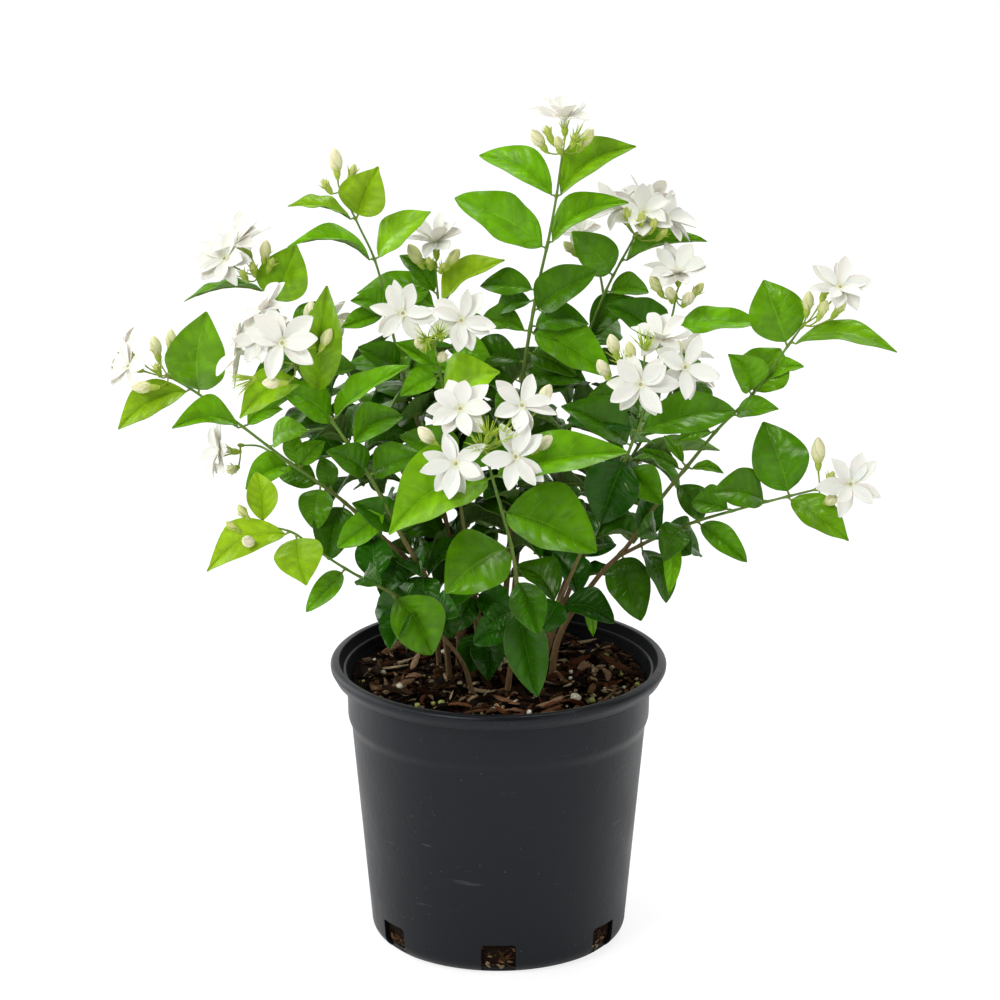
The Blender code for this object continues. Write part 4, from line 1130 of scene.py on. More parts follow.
def turned(outline, sides):
    """Points and faces of a section that starts and ends near the axis, spun round Z."""
    turns = np.arange(sides) * math.tau / sides
    rings = [np.stack((radius * np.cos(turns), radius * np.sin(turns), np.full(sides, height)), axis=1)
             for radius, height in outline]
    ends = np.array(((0.0, 0.0, outline[0][1]), (0.0, 0.0, outline[-1][1])))
    return np.vstack((*rings, ends)), tube_faces(len(outline), sides)


def window_cutter():
    """Blocks with rounded upper corners, one for each drain window."""
    near, far = WINDOW_REACH
    shape = bmesh.new()
    for bearing in WINDOW_BEARINGS:
        out = Vector(heading(bearing, 0))
        sideways = Vector((-out.y, out.x, 0.0)) * WINDOW_WIDTH / 2
        corners = (near * out - sideways, far * out - sideways, far * out + sideways, near * out + sideways)
        lower, upper = ([shape.verts.new((corner.x, corner.y, height)) for corner in corners]
                        for height in (-WINDOW_TOP, WINDOW_TOP))
        for i in range(4):
            j = (i + 1) % 4
            shape.faces.new((lower[i], lower[j], upper[j], upper[i]))
        shape.faces.new(lower[::-1])
        shape.faces.new(upper)
        rounded = [shape.edges.get(upper[:2]), shape.edges.get(upper[2:])]
        bmesh.ops.bevel(shape, geom=rounded, offset=WINDOW_ROUND, segments=4, profile=0.5, affect="EDGES")
    bmesh.ops.recalc_face_normals(shape, faces=shape.faces)
    mesh = bpy.data.meshes.new("window_cutter")
    shape.to_mesh(mesh)
    shape.free()
    return new_object("window_cutter", mesh)


def cut_away(mesh, cutter):
    """The mesh less the cutter, as a new mesh. The cutter and the helper are removed."""
    helper = new_object("uncut", mesh)
    cut = helper.modifiers.new("windows", "BOOLEAN")
    cut.object = cutter
    cut.solver = "EXACT"
    evaluated = helper.evaluated_get(bpy.context.evaluated_depsgraph_get())
    made = bpy.data.meshes.new_from_object(evaluated)
    for spent in (helper, cutter):
        bpy.data.objects.remove(spent)
    return made


def build_pot(settings):
    """The pot as one piece, with its windows cut through."""
    points, faces = turned(pot_outline(), settings.sides)
    mesh = bpy.data.meshes.new("nursery_pot")
    mesh.from_pydata(points, [], faces)
    mesh = cut_away(mesh, window_cutter())
    mesh.materials.clear()
    mesh.materials.append(plastic_finish(settings))
    dress("nursery_pot", mesh, ("pot",), sharp=38)


# ---- growing mix -----------------------------------------------------------------------------
def mix_height(x, y, relief):
    """Height of the mix's lumpy top, which rises a little round the canes and dips at the wall."""
    lumps = sum(share * noise.noise(Vector((x * count, y * count, layer))) for share, count, layer in LUMPS)
    mound = MOUND * (1 - (math.hypot(x, y) / CRUST_RADIUS) ** 2)
    return MIX_TOP + 0.0014 + max(mound + relief * lumps, -0.0010)


def on_mix(x, y, settings, lift):
    """The point that far above the mix."""
    return np.array((x, y, mix_height(x, y, settings.relief) + lift))


def ring(radius, sides):
    """Places round the axis, on a circle."""
    turns = np.arange(sides) * math.tau / sides
    return np.stack((radius * np.cos(turns), radius * np.sin(turns)), axis=1)


def build_crust(settings, humus):
    """The lumpy top of the mix, as a thin body that lies on the root ball."""
    shape = Shape()
    rings = 56
    sides = 220
    bottom = MIX_TOP + GAP / 3
    points = [(x, y, bottom) for x, y in ring(CRUST_RADIUS, sides)]
    for i in range(rings):
        points += [on_mix(x, y, settings, 0.0) for x, y in ring(CRUST_RADIUS * (1 - i / rings), sides)]
    points += [(0.0, 0.0, bottom), on_mix(0.0, 0.0, settings, 0.0)]
    points = np.vstack(points)
    faces = tube_faces(rings + 1, sides)
    shape.add(points, faces, points[:, :2] / CRUST_RADIUS, 0.5, 0.5, [0] * len(faces))
    shape.piece("mix_crust", [humus])


def add_chip(shape, place, direction, upward, size, rng, age, tone):
    """A split sliver of bark with ragged ends."""
    length, width, thickness = size
    upward = unit(upward - upward.dot(direction) * direction)
    sideways = np.cross(direction, upward)
    rings = 5
    sides = 7
    bow = rng.uniform(-0.12, 0.12) * length
    swing = rng.uniform(-0.10, 0.10) * length
    points = []
    for i in range(rings):
        share = i / (rings - 1)
        thin = (0.55, 0.92, 1.0, 0.88, 0.40)[i] * rng.uniform(0.85, 1.1)
        middle = (place + (share - 0.5) * length * direction
                  + math.sin(math.pi * share) * (bow * upward + swing * sideways))
        for k in range(sides):
            turn = math.tau * k / sides
            wide = 0.5 * width * thin * rng.uniform(0.78, 1.12) * math.cos(turn)
            thick = 0.5 * thickness * thin * rng.uniform(0.65, 1.2) * math.sin(turn)
            ragged = rng.uniform(-0.07, 0.07) * length if i in (0, rings - 1) else 0.0
            points.append(middle + wide * sideways + thick * upward + ragged * direction)
    points += [place - 0.5 * length * direction, place + 0.5 * length * direction]
    places = [(k / sides, i / (rings - 1)) for i in range(rings) for k in range(sides)]
    places += [(0.5, 0.0), (0.5, 1.0)]
    faces = tube_faces(rings, sides)
    shape.add(np.array(points), faces, np.array(places), age, tone, [0] * len(faces))


def scattered(rng, reach):
    """A random spot on the round top of the mix."""
    radius = reach * math.sqrt(rng.random())
    turn = rng.uniform(0, math.tau)
    return radius * math.cos(turn), radius * math.sin(turn)


def build_chips(settings):
    """Bark chips strewn over the mix, with the stray ones on top."""
    rng = random.Random(CHIP_SEED)
    shape = Shape()
    for i in range(settings.chips):
        lengths, widths, height = SMALL_CHIP if i % LARGE_EVERY else LARGE_CHIP
        size = (rng.uniform(*lengths), rng.uniform(*widths), rng.uniform(0.0008, 0.0022))
        x, y = scattered(rng, CRUST_RADIUS - 0.45 * size[0])
        place = on_mix(x, y, settings, rng.uniform(0.2, 0.9) * size[2] + height)
        direction = heading(rng.uniform(0, 360), rng.gauss(0, 18))
        upward = heading(rng.uniform(0, 360), rng.uniform(25, 90))
        tone = rng.betavariate(0.9, 1.3)
        add_chip(shape, place, direction, upward, size, rng, rng.random(), tone)
    for x, y, bearing, length, width, age, tone in STRAY_CHIPS:
        size = (length, width, 0.0016)
        add_chip(shape, on_mix(x, y, settings, 0.0046), heading(bearing, 4), heading(90, 85), size, rng,
                 age, tone)
    shape.piece("bark_chips", [bark_chip_finish(settings)], sharp=35)


def build_fibres(settings):
    """Loose root and bark fibres that curl over the mix."""
    rng = random.Random(FIBRE_SEED)
    shape = Shape()
    limit = CRUST_RADIUS - 0.001
    for _ in range(settings.fibres):
        x, y = scattered(rng, CRUST_RADIUS - 0.006)
        bearing = rng.uniform(0, 360)
        step = rng.uniform(0.0016, 0.0042)
        route = []
        for _ in range(6):
            route.append(on_mix(x, y, settings, rng.uniform(0.0008, 0.0034)))
            bearing += rng.uniform(-38, 38)
            x += step * math.cos(math.radians(bearing))
            y += step * math.sin(math.radians(bearing))
            inward = min(limit / math.hypot(x, y), 1.0)
            x *= inward
            y *= inward
        radius = rng.uniform(0.00018, 0.00042)
        shape.tube(smooth_route(route, 3), (radius, radius * 0.9, radius * 0.5), 5,
                   age=rng.random() * 0.6, tone=rng.uniform(0.25, 0.80))
    shape.piece("bark_fibres", [bark_chip_finish(settings)])


def add_grain(shape, place, radius, rng, slot):
    """A lumpy grain, squashed a little."""
    turns = 9
    heights = (-0.95, -0.7, -0.2, 0.35, 0.75, 0.95)
    points = []
    for height in heights:
        reach = math.sqrt(1 - height * height)
        for k in range(turns):
            turn = math.tau * k / turns
            lump = rng.uniform(0.84, 1.14)
            points.append(place + radius * lump * np.array((reach * math.cos(turn),
                                                            reach * math.sin(turn), 0.8 * height)))
    pole = np.array((0.0, 0.0, 0.8 * radius))
    points += [place - pole, place + pole]
    faces = tube_faces(len(heights), turns)
    places = np.array([(point[0] - place[0], point[1] - place[1]) for point in points]) / radius
    shape.add(np.array(points), faces, places, 0.5, 0.5, [slot] * len(faces))


def build_grains(settings):
    """Pale pellets and grains, and a few yellow-green scraps, on top of the mix."""
    rng = random.Random(GRAIN_SEED)
    shape = Shape()
    rows = list(PELLETS)
    for _ in range(settings.grains):
        rows.append((*scattered(rng, CRUST_RADIUS - 0.004), rng.uniform(0.0006, 0.0015),
                     rng.random() < 0.30))
    for x, y, radius, green in rows:
        add_grain(shape, on_mix(x, y, settings, 0.0034 + 0.5 * radius), radius, rng, 1 if green else 0)
    finishes = [pellet_finish("pale_pellet", settings.pellet), pellet_finish("green_scrap", GREEN_SCRAP)]
    shape.piece("mix_pellets", finishes)


def build_window_litter(settings):
    """Bark and root ends that show in the drain windows, against the root ball's rounded edge."""
    rng = random.Random(LITTER_SEED)
    shape = Shape()
    up = np.array((0.0, 0.0, 1.0))
    for bearing in WINDOW_BEARINGS:
        out = heading(bearing, 0)
        sideways = np.array((-out[1], out[0], 0.0))
        for i in range(LITTER_COUNT):
            rise = rng.uniform(0.0034, WINDOW_TOP - 0.0028)
            # The radius of the root ball's rounded edge at that height.
            below = max(CORNER - rise, 0.0)
            reach = WALL_BOTTOM_RADIUS - CORNER + math.sqrt(max((CORNER - FLOOR) ** 2 - below ** 2, 0.0))
            swing = rng.uniform(-0.5, 0.5) * (WINDOW_WIDTH - 0.004)
            place = (reach - 0.0006) * out + swing * sideways + rise * up
            direction = unit(rng.uniform(-1, 1) * sideways + rng.uniform(-0.5, 0.5) * up)
            length = rng.uniform(0.0022, 0.0052)
            if i % 5 == 2:
                root = [place + share * length * direction + bow * out
                        for share, bow in ((-0.6, 0.0006), (0.0, 0.0013), (0.6, 0.0006))]
                shape.tube(smooth_route(root, 3), (0.00022, 0.00030, 0.00018), 5, age=0.3, tone=0.56)
            else:
                size = (length, rng.uniform(0.0010, 0.0024), 0.0010)
                add_chip(shape, place, direction, out, size, rng, rng.random(), rng.betavariate(1.7, 1.9))
    shape.piece("window_litter", [bark_chip_finish(settings)], sharp=35)


def build_mix(settings):
    """The root ball's finish, and everything that lies on it."""
    humus = humus_finish(settings)
    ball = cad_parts["growing_mix"]
    ball.data.materials.clear()
    ball.data.materials.append(humus)
    build_crust(settings, humus)
    build_chips(settings)
    build_fibres(settings)
    build_grains(settings)
    build_window_litter(settings)


# ---- canes -----------------------------------------------------------------------------------
def add_cane(shape, route, radii, joints, ages, sides, foot):
    """A tapering tube with a swelling at each pair of leaves and a flare at its foot."""
    fine = smooth_route(route, 22)
    reach = np.concatenate(([0.0], np.cumsum(np.linalg.norm(np.diff(fine, axis=0), axis=1))))
    shares = reach / reach[-1]
    width = taper(radii, shares)
    for joint in joints:
        width = width * (1 + SWELLING * np.exp(-((reach - joint * reach[-1]) / SWELLING_REACH) ** 2))
    if foot:
        width = width * (1 + FLARE_WIDTH * np.exp(-(reach / FLARE) ** 2))
    shape.tube(fine, width, sides, ages=np.interp(shares, (0, 1), ages), tone=0.5)


def pair_places(rows):
    """Where pairs of leaves grow along a shoot."""
    return sorted({round(row[0], 2) for row in rows})


def build_canes(settings, shoots, rows):
    """One piece for each cane, with its side shoots."""
    bark = cane_finish(settings)
    for name, (foot, tip, route) in CANES.items():
        shape = Shape()
        add_cane(shape, route, (foot, tip), pair_places(rows[name]), (0.0, 1.0), settings.sides, foot=True)
        for side, (parent, along, start, end, onward) in SIDE_SHOOTS.items():
            if parent == name:
                onward = (tuple(shoots[parent].place(along)), *onward)
                add_cane(shape, onward, (start, end), pair_places(rows[side]), (along, 1.0),
                         settings.sides, foot=False)
        shape.piece(f"stem_{name}", [bark], (f"cane_{name}",))


# ---- leaves ----------------------------------------------------------------------------------
def blade_grid(length, width, rng, age):
    """A blade's upper face in its own axes (across, along, up): ovate, folded up from its midrib,
    wavy at its margin and quilted between its side veins. The last grid is how the midrib bows."""
    s = np.linspace(0, 1, LEAF_ROWS)[:, None]
    t = np.linspace(-1, 1, LEAF_COLUMNS)[None, :]
    fullness = rng.uniform(0.78, 0.98)
    blunt = rng.uniform(0.50, 0.80) + 0.40 * age
    outline = np.sin(math.pi * s ** fullness).clip(0) ** (0.78 + (blunt - 0.78) * s ** 2)
    half = 0.5 * width * np.maximum(outline, 0.035)
    arch = rng.uniform(0.08, 0.15)
    fold = rng.uniform(0.46, 0.92)
    curl = rng.uniform(0.10, 0.30)
    wave = rng.uniform(0.05, 0.15)
    beats = rng.uniform(1.4, 2.8)
    bend = rng.uniform(-0.07, 0.07)
    droop = rng.uniform(0.00, 0.08)
    twist = rng.uniform(-0.16, 0.16)
    phase = rng.uniform(0, math.tau)
    quilt = QUILTING * (1.0 - 0.4 * age)
    x = t * half + bend * length * np.sin(math.pi * s)
    y = length * s + 0 * t
    veins = np.abs(np.sin(math.pi * VEIN_PAIRS * (s - VEIN_SLANT * np.abs(t) ** VEIN_CURVE)))
    puffs = quilt * veins * np.sin(math.pi * np.abs(t) ** 0.8) * np.sin(math.pi * s) ** 0.5
    z = (half * np.abs(t) * (fold - curl * np.abs(t))
         + wave * half * t ** 2 * np.sin(math.tau * beats * s + phase + 1.2 * np.sign(t))
         + twist * t * half * s + puffs)
    bow = arch * length * np.sin(math.pi * s ** 0.85) - droop * length * s ** 3 + 0 * t
    return x, y, z, bow


def add_leaf(shape, shoot, row, direction, upward, settings, rng):
    """A blade on its short stalk, which runs on under the blade as a raised midrib."""
    along, length, width, age = row
    stem = shoot.direction(along)
    away = direction - direction.dot(stem) * stem
    away = unit(away) if np.linalg.norm(away) > 0.05 else across(stem)[0]
    start = shoot.place(along) + 0.6 * shoot.radius(along) * away
    upward = unit(upward - upward.dot(direction) * direction)
    sideways = np.cross(direction, upward)
    foot = start + PETIOLE * direction
    lift = np.array((0.0, 0.0, 1.0)) - direction[2] * direction
    lift = unit(unit(lift) + 0.8 * upward) if abs(direction[2]) < 0.9 else upward
    x, y, z, bow = blade_grid(length - PETIOLE, width, rng, age)
    grid = (foot + x[..., None] * sideways + y[..., None] * direction + z[..., None] * upward
            + bow[..., None] * lift)
    tone = rng.uniform(0.15, 0.85)
    mark = min(max(age + rng.uniform(-0.05, 0.05), 0.0), 1.0)
    shape.sheet(grid, settings.thickness, mark, tone, slots=(0, 1))
    rib = grid[::3, LEAF_COLUMNS // 2] - RIB_DEPTH * upward
    neck = start + 0.5 * PETIOLE * direction + 0.0004 * upward
    shape.tube(np.vstack((start, neck, rib[:-1])), PETIOLE_RADII, 6, age=0.35 * mark, tone=tone, slot=2)


def lean_upward(lean):
    """Which way a blade's upper face looks when it leans to the front by that many degrees."""
    return heading(-90, 90 - lean)


def outward_upward(place, rng):
    """Which way the upper face of an inner leaf looks: up, outwards and a little to the front."""
    out = np.array((place[0], place[1], 0.0))
    reach = np.linalg.norm(out)
    out = out / reach if reach > 0.004 else np.array((0.0, -1.0, 0.0))
    jitter = np.array([rng.gauss(0, 0.16) for _ in range(3)])
    return np.array((0.0, -0.34, 0.90)) + 0.75 * out + jitter


def inner_pairs(name, shoot, settings, rng):
    """Pairs of leaves down a shoot, each turned a right angle from the last, below those listed."""
    rows = []
    lowest = min((row[0] for row in LEAVES.get(name, ())), default=0.95)
    along = FILLED_TO.get(name, lowest - 0.02)
    pitch = settings.pitch * (DENSE_PITCH if name in DENSE_SHOOTS else 1.0) / shoot.length
    turn = rng.uniform(0, 180)
    while along > 0.05:
        place = shoot.place(along)
        if place[2] < LOWEST_LEAF:
            break
        height = (place[2] - MIX_TOP) / CROWN_HEIGHT
        stem = shoot.direction(along)
        for half in (0, 180):
            if rng.random() < MISSING_LEAVES:
                continue
            out = swung(stem, math.radians(turn + half + rng.uniform(-22, 22)))
            spread = rng.uniform(0.30, 0.62)
            direction = unit(out + spread * stem - np.array((0.0, 0.0, rng.uniform(0.05, 0.5))))
            length = rng.uniform(0.020, 0.030) + 0.013 * min(height, 1.0)
            width = length * rng.uniform(0.56, 0.78)
            age = min(0.32 * height - 0.04 + rng.uniform(0, 0.16), 0.58)
            tip = place + length * direction
            if tip[2] < LOWEST_LEAF - 0.004 or math.hypot(tip[0], tip[1]) > CROWN_REACH:
                continue
            rows.append((along, length, width, age, direction, outward_upward(place, rng)))
        turn += 90
        along -= pitch * rng.uniform(0.85, 1.15)
    return rows


def listed_leaves(name):
    """The listed leaves of a shoot, with their directions worked out."""
    rows = []
    for along, bearing, rise, length, width, lean, age in LEAVES.get(name, ()):
        rows.append((along, length, width, age, heading(bearing, rise), lean_upward(lean)))
    return rows


def foliage(settings):
    """Every shoot, and the leaves of each, the listed ones first."""
    shoots = all_shoots()
    rows = {}
    for number, (name, shoot) in enumerate(shoots.items()):
        rng = random.Random(PAIR_SEED + number)
        rows[name] = listed_leaves(name) + inner_pairs(name, shoot, settings, rng)
    return shoots, rows


def build_leaves(settings, flowers):
    """One piece for each shoot's leaves."""
    finishes = [leaf_finish(settings), underside_finish(settings), stalk_finish(flowers)]
    shoots, rows = foliage(settings)
    for number, (name, shoot) in enumerate(shoots.items()):
        if not rows[name]:
            continue
        rng = random.Random(BLADE_SEED + number)
        shape = Shape()
        for along, length, width, age, direction, upward in rows[name]:
            add_leaf(shape, shoot, (along, length, width, age), direction, upward, settings, rng)
        nodes = [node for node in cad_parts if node.rsplit("_", 1)[0] == f"leaf_{name}"]
        shape.piece(f"leaves_{name}", finishes, nodes)


# ---- trusses ---------------------------------------------------------------------------------
def petal_outline(s):
    """Half width along a petal: narrow at the foot, widest past the middle, with a blunt point."""
    rise = 0.34 + 0.66 * np.sin(0.5 * math.pi * np.clip(s / PETAL_WIDEST, 0, 1)) ** 1.1
    fall = (1 - np.clip((s - PETAL_WIDEST) / (1 - PETAL_WIDEST), 0, 1) ** 1.8).clip(0) ** 0.85
    return np.maximum(rise * fall, 0.07)


def add_petal(shape, place, facing, out, size, settings, rng, lift):
    """One petal that leaves the throat along out, cupped and curled by small chances."""
    s = np.linspace(0, 1, PETAL_ROWS)[:, None]
    t = np.linspace(-1, 1, PETAL_COLUMNS)[None, :]
    length = size * settings.length * rng.uniform(0.90, 1.08)
    half = 0.5 * size * settings.width * rng.uniform(0.70, 1.08) * petal_outline(s)
    tilt = math.radians(rng.uniform(0, 10)) + lift
    curl = rng.uniform(-0.32, 0.02)
    cup = rng.uniform(0.16, 0.55)
    twist = rng.uniform(-0.55, 0.55)
    swing = rng.uniform(-0.12, 0.12)
    x = t * half + swing * length * s ** 2
    y = THROAT_RADIUS * 0.8 + length * s * math.cos(tilt) + 0 * t
    z = (length * (math.sin(tilt) * s + curl * s ** 2) + cup * half * t ** 2
         + twist * t * half * s - 0.0003 * np.sin(math.pi * s) * (1 - np.abs(t)))
    sideways = np.cross(out, facing)
    grid = place + x[..., None] * sideways + y[..., None] * out + z[..., None] * facing
    shape.sheet(grid, settings.thickness, 0.5, rng.random())


def add_flower(shape, place, facing, turn, size, settings, rng):
    """Two whorls of petals on a slender tube, with a yellow throat. A flower that faces up holds
    them higher."""
    raised = max(math.degrees(math.asin(facing[2])) - 30, 0.0)
    # Each whorl: how many petals, their turn as a share of a petal, their rise and their height.
    whorls = ((rng.choice((5, 6)), 0.0, 2 + 0.3 * raised, 0.0),
              (rng.choice((3, 4, 5)), 0.5, 17 + 0.6 * raised, 0.0005))
    for count, shift, lift, height in whorls:
        for k in range(count):
            out = swung(facing, turn + math.tau * (k + shift) / count + rng.uniform(-0.20, 0.20))
            rise = math.radians(lift + rng.uniform(-6, 12))
            add_petal(shape, place + height * facing, facing, out, size, settings, rng, rise)
    route = [place + height * facing for height in np.linspace(-FLOWER_TUBE, 0.0007, 7)]
    shape.tube(route, TUBE_RADII, 12, tone=0.5)
    shape.tube([place + height * facing for height in THROAT_HEIGHTS], THROAT_RADII, 10, slot=1)


def add_bud(shape, place, direction, size, green):
    """A pointed bud on its tube: plump and cream, or slimmer and greener when young."""
    length = BUD_LENGTH * size
    radius = BUD_RADIUS * size ** 0.7 * (1.0 - 0.24 * green)
    heights = np.linspace(-0.5, 0.5, len(BUD_PROFILE)) * length
    route = [place + height * direction for height in heights]
    shape.tube(route, radius * np.array(BUD_PROFILE), 14, age=green)
    foot = place - 0.47 * length * direction
    shape.tube([foot - BUD_TUBE * direction, foot], (0.0010, 0.34 * radius), 8, age=0.9, slot=1)


def add_calyx(shape, end, direction, rng, lobes=LOBES, length=LOBE_LENGTH, age=0.8):
    """A small green cup with narrow lobes round it."""
    shape.tube([end + height * direction for height in CALYX_HEIGHTS], CALYX_RADII, 8, age=age)
    for k in range(lobes):
        out = swung(direction, math.tau * k / lobes + rng.uniform(-0.25, 0.25))
        reach = length * rng.uniform(0.75, 1.15)
        spread = rng.uniform(0.12, 0.55)
        root = end + 0.0032 * direction + 0.0013 * out
        middle = root + 0.5 * reach * unit(direction + spread * out)
        tip = middle + 0.5 * reach * unit(direction + 1.5 * spread * out)
        shape.tube(smooth_route((root, middle, tip), 3), LOBE_RADII, 5, age=age + 0.1)


def add_stalk(shape, knot, end, direction, rng):
    """A thin stalk that bows out of the knot and comes straight into the calyx."""
    span = np.linalg.norm(end - knot)
    sag = np.array((rng.uniform(-0.06, 0.06), rng.uniform(-0.06, 0.06), -0.04)) * span
    middle = 0.5 * (knot + end) - 0.16 * span * direction + sag
    route = smooth_route((knot, middle, end - 0.0012 * direction), 6)
    shape.tube(route, STALK_RADII, 7, age=0.45)


def build_truss(name, shoot, finishes, settings, rng):
    """The flowers, buds and stalks at a shoot's tip, as three pieces."""
    flowers, buds = TRUSSES[name]
    blooms = Shape()
    closed = Shape()
    stalks = Shape()
    tip = shoot.place(1.0)
    axis = shoot.direction(1.0)
    knot = tip + KNOT_RADIUS * axis
    stalks.tube([tip - 0.001 * axis, tip, knot, knot + 0.0016 * axis],
                (0.0007, 0.0010, 0.0012, 0.0005), 8, age=0.3)
    for number, (place, facing) in enumerate(flowers):
        place = np.array(place)
        facing = heading(*facing)
        end = place - FLOWER_TUBE * facing
        size = FLOWER_SIZES.get((name, number), 1.0)
        add_flower(blooms, place, facing, 0.4 * number, size, settings, rng)
        add_stalk(stalks, knot, end, facing, rng)
        add_calyx(stalks, end, facing, rng)
    forms = list(zip(buds, BUD_FORMS.get(name, (PLAIN_BUD,) * len(buds))))
    forms += [(place, (size, 1.0)) for place, size in GREEN_BUDS.get(name, ())]
    for number, (place, (size, green)) in enumerate(forms):
        place = np.array(place)
        direction = unit(unit(place - knot) + np.array((0.0, 0.0, 0.8)))
        if (name, number) in LEVEL_BUDS:
            direction = heading(*LEVEL_BUD)
        end = place - (0.5 * size * BUD_LENGTH + 0.6 * BUD_TUBE) * direction
        add_bud(closed, place, direction, size, green)
        add_stalk(stalks, knot, end, direction, rng)
        add_calyx(stalks, end, direction, rng)
    for place in EMPTY_CALYCES.get(name, ()):
        place = np.array(place)
        direction = unit(unit(place - knot) + np.array((0.0, -0.5, 0.3)))
        add_stalk(stalks, knot, place, direction, rng)
        add_calyx(stalks, place, direction, rng, EMPTY_LOBES, EMPTY_LOBE_LENGTH, age=0.95)
    petal, throat, bud, stalk = finishes
    if flowers:
        blooms.piece(f"flowers_{name}", [petal, throat], (f"truss_{name}",))
    if forms:
        closed.piece(f"buds_{name}", [bud, stalk], (f"truss_{name}",))
    stalks.piece(f"stalks_{name}", [stalk], (f"truss_{name}",))


def build_trusses(settings):
    """The trusses of every shoot."""
    finishes = (petal_finish(settings), throat_finish(settings), bud_finish(settings),
                stalk_finish(settings))
    for number, (name, shoot) in enumerate(all_shoots().items()):
        if name in TRUSSES:
            build_truss(name, shoot, finishes, settings, random.Random(TRUSS_SEED + number))


# ---- stage -----------------------------------------------------------------------------------
def floor_finish(settings):
    """A pale floor that the camera sees as white except where the shadow falls."""
    made = Finish("pale_floor", 0.9)
    made.set("Base Color", made.mix(made.times(made.noise(40.0, 2.0), 0.04), settings.floor, FLOOR_GRAIN))
    ray = made.ray()
    mirrored = made.most(ray["Is Glossy Ray"], ray["Is Transmission Ray"])
    seen = made.most(ray["Is Camera Ray"], made.times(mirrored, MIRRORED_GLOW))
    glow = made.node("Emission", {"Color": WHITE, "Strength": FLOOR_GLOW})
    lit = {0: made.times(seen, FLOOR_GLOW_SHARE), 1: made.shader.outputs[0], 2: glow}
    made.feed(made.tree.nodes["Material Output"].inputs["Surface"], made.node("MixShader", lit))
    return made.material


def build_floor(settings):
    """One flat square round the object's foot."""
    mesh = bpy.data.meshes.new("floor")
    corners = ((-1, -1), (1, -1), (1, 1), (-1, 1))
    mesh.from_pydata([(FLOOR_HALF * x, FLOOR_HALF * y, 0.0) for x, y in corners], [], [(0, 1, 2, 3)])
    mesh.materials.append(floor_finish(settings))
    floor = new_object("floor", mesh)


def add_lamp(name, place, size, power):
    """A square soft lamp that looks at the plant."""
    data = bpy.data.lights.new(name, "AREA")
    data.energy = power
    data.size = size
    lamp = new_object(name, data)
    lamp.location = place
    lamp.visible_camera = False
    lamp.rotation_euler = (AIM - Vector(place)).to_track_quat("-Z", "Y").to_euler()


def build_sky(settings):
    """Even light all round. The camera sees it as white, and reflections see it as a studio with a
    white back and a darker front."""
    world = bpy.data.worlds.new("studio")
    bpy.context.scene.world = world
    world.use_nodes = True
    graph = Graph(world.node_tree)
    ray = graph.ray()
    towards = graph.split(graph.node("TexCoord"))
    studio = graph.node("MapRange", {"Value": towards["Y"], "From Min": -0.1, "From Max": 0.7,
                                     "To Min": settings.dark_side, "To Max": 1.0})
    level = graph.node("Mix", {"Factor": ray["Is Glossy Ray"], "A": settings.sky, "B": studio})
    sky = world.node_tree.nodes["Background"].inputs
    graph.feed(sky["Color"], WHITE)
    graph.feed(sky["Strength"], graph.most(ray["Is Camera Ray"], level))


def build_camera():
    """A long lens that looks down a little at the plant's middle."""
    rise = math.radians(CAMERA_RISE)
    data = bpy.data.cameras.new("camera")
    data.lens = LENS
    data.sensor_width = SENSOR
    data.clip_end = 50.0
    camera = new_object("camera", data)
    camera.location = AIM + CAMERA_DISTANCE * Vector((0.0, -math.cos(rise), math.sin(rise)))
    camera.rotation_euler = (math.pi / 2 - rise, 0.0, 0.0)
    bpy.context.scene.camera = camera


def build_stage(settings):
    """Floor, sky, lamps and camera."""
    build_floor(settings)
    build_sky(settings)
    for name, place, size, key, fill in LAMPS:
        add_lamp(name, place, size, key * settings.key + fill * settings.fill)
    build_camera()
    bpy.context.scene.view_settings.view_transform = "Standard"


# ---- operators -------------------------------------------------------------------------------
class JASMINE_OT_stage(bpy.types.Operator):
    """Add the floor, the lamps, the even sky and the camera"""

    bl_idname = "jasmine.stage"
    bl_label = "Add Stage"
    bl_options = {"REGISTER", "UNDO"}

    def execute(self, context):
        build_stage(context.scene.jasmine_stage)
        return {"FINISHED"}


class JASMINE_OT_pot(bpy.types.Operator):
    """Turn the nursery pot and cut its drain windows"""

    bl_idname = "jasmine.pot"
    bl_label = "Add Pot"
    bl_options = {"REGISTER", "UNDO"}

    def execute(self, context):
        build_pot(context.scene.jasmine_pot)
        return {"FINISHED"}


class JASMINE_OT_mix(bpy.types.Operator):
    """Finish the root ball and lay bark, fibres and pellets on it"""

    bl_idname = "jasmine.mix"
    bl_label = "Add Growing Mix"
    bl_options = {"REGISTER", "UNDO"}

    def execute(self, context):
        build_mix(context.scene.jasmine_mix)
        return {"FINISHED"}


class JASMINE_OT_canes(bpy.types.Operator):
    """Grow the canes and their side shoots"""

    bl_idname = "jasmine.canes"
    bl_label = "Add Canes"
    bl_options = {"REGISTER", "UNDO"}

    def execute(self, context):
        shoots, rows = foliage(context.scene.jasmine_leaves)
        build_canes(context.scene.jasmine_canes, shoots, rows)
        return {"FINISHED"}


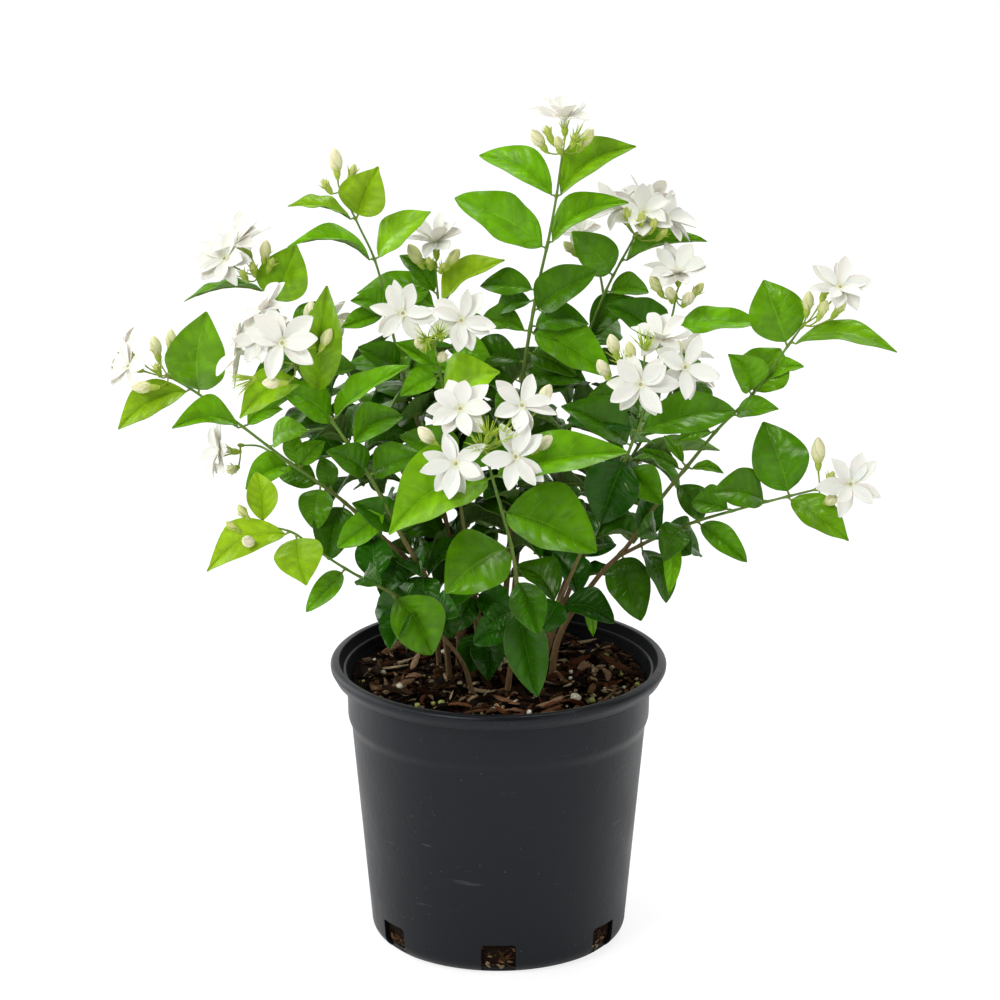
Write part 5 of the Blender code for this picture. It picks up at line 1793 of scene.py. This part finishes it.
class JASMINE_OT_leaves(bpy.types.Operator):
    """Hang the leaves on every shoot"""

    bl_idname = "jasmine.leaves"
    bl_label = "Add Leaves"
    bl_options = {"REGISTER", "UNDO"}

    def execute(self, context):
        build_leaves(context.scene.jasmine_leaves, context.scene.jasmine_flowers)
        return {"FINISHED"}


class JASMINE_OT_trusses(bpy.types.Operator):
    """Open the flowers and buds at each shoot's tip"""

    bl_idname = "jasmine.trusses"
    bl_label = "Add Trusses"
    bl_options = {"REGISTER", "UNDO"}

    def execute(self, context):
        build_trusses(context.scene.jasmine_flowers)
        return {"FINISHED"}


class JASMINE_PT_panel(bpy.types.Panel):
    """Lists the parts of the plant with their settings"""

    bl_idname = "JASMINE_PT_panel"
    bl_label = "Potted Jasmine"
    bl_space_type = "VIEW_3D"
    bl_region_type = "UI"
    bl_category = "Jasmine"

    def draw(self, context):
        for operator, name, _ in PARTS:
            box = self.layout.box()
            settings = getattr(context.scene, name)
            for setting in settings.__annotations__:
                box.prop(settings, setting)
            box.operator(operator)


# The parts in the panel's order: each one's operator, the name of its settings and their group.
PARTS = (
    ("jasmine.stage", "jasmine_stage", JasmineStage),
    ("jasmine.pot", "jasmine_pot", JasminePot),
    ("jasmine.mix", "jasmine_mix", JasmineMix),
    ("jasmine.canes", "jasmine_canes", JasmineCanes),
    ("jasmine.leaves", "jasmine_leaves", JasmineLeaves),
    ("jasmine.trusses", "jasmine_flowers", JasmineFlowers),
)
CLASSES = (*(group for _, _, group in PARTS), JASMINE_OT_stage, JASMINE_OT_pot, JASMINE_OT_mix,
           JASMINE_OT_canes, JASMINE_OT_leaves, JASMINE_OT_trusses, JASMINE_PT_panel)


def register():
    for made in CLASSES:
        bpy.utils.register_class(made)
    for _, name, group in PARTS:
        setattr(bpy.types.Scene, name, PointerProperty(type=group))


def unregister():
    for _, name, _ in PARTS:
        delattr(bpy.types.Scene, name)
    for made in reversed(CLASSES):
        bpy.utils.unregister_class(made)


def main():
    """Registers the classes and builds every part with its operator."""
    register()
    bpy.ops.jasmine.stage()
    bpy.ops.jasmine.pot()
    bpy.ops.jasmine.mix()
    bpy.ops.jasmine.canes()
    bpy.ops.jasmine.leaves()
    bpy.ops.jasmine.trusses()


if __name__ == "__main__":
    main()
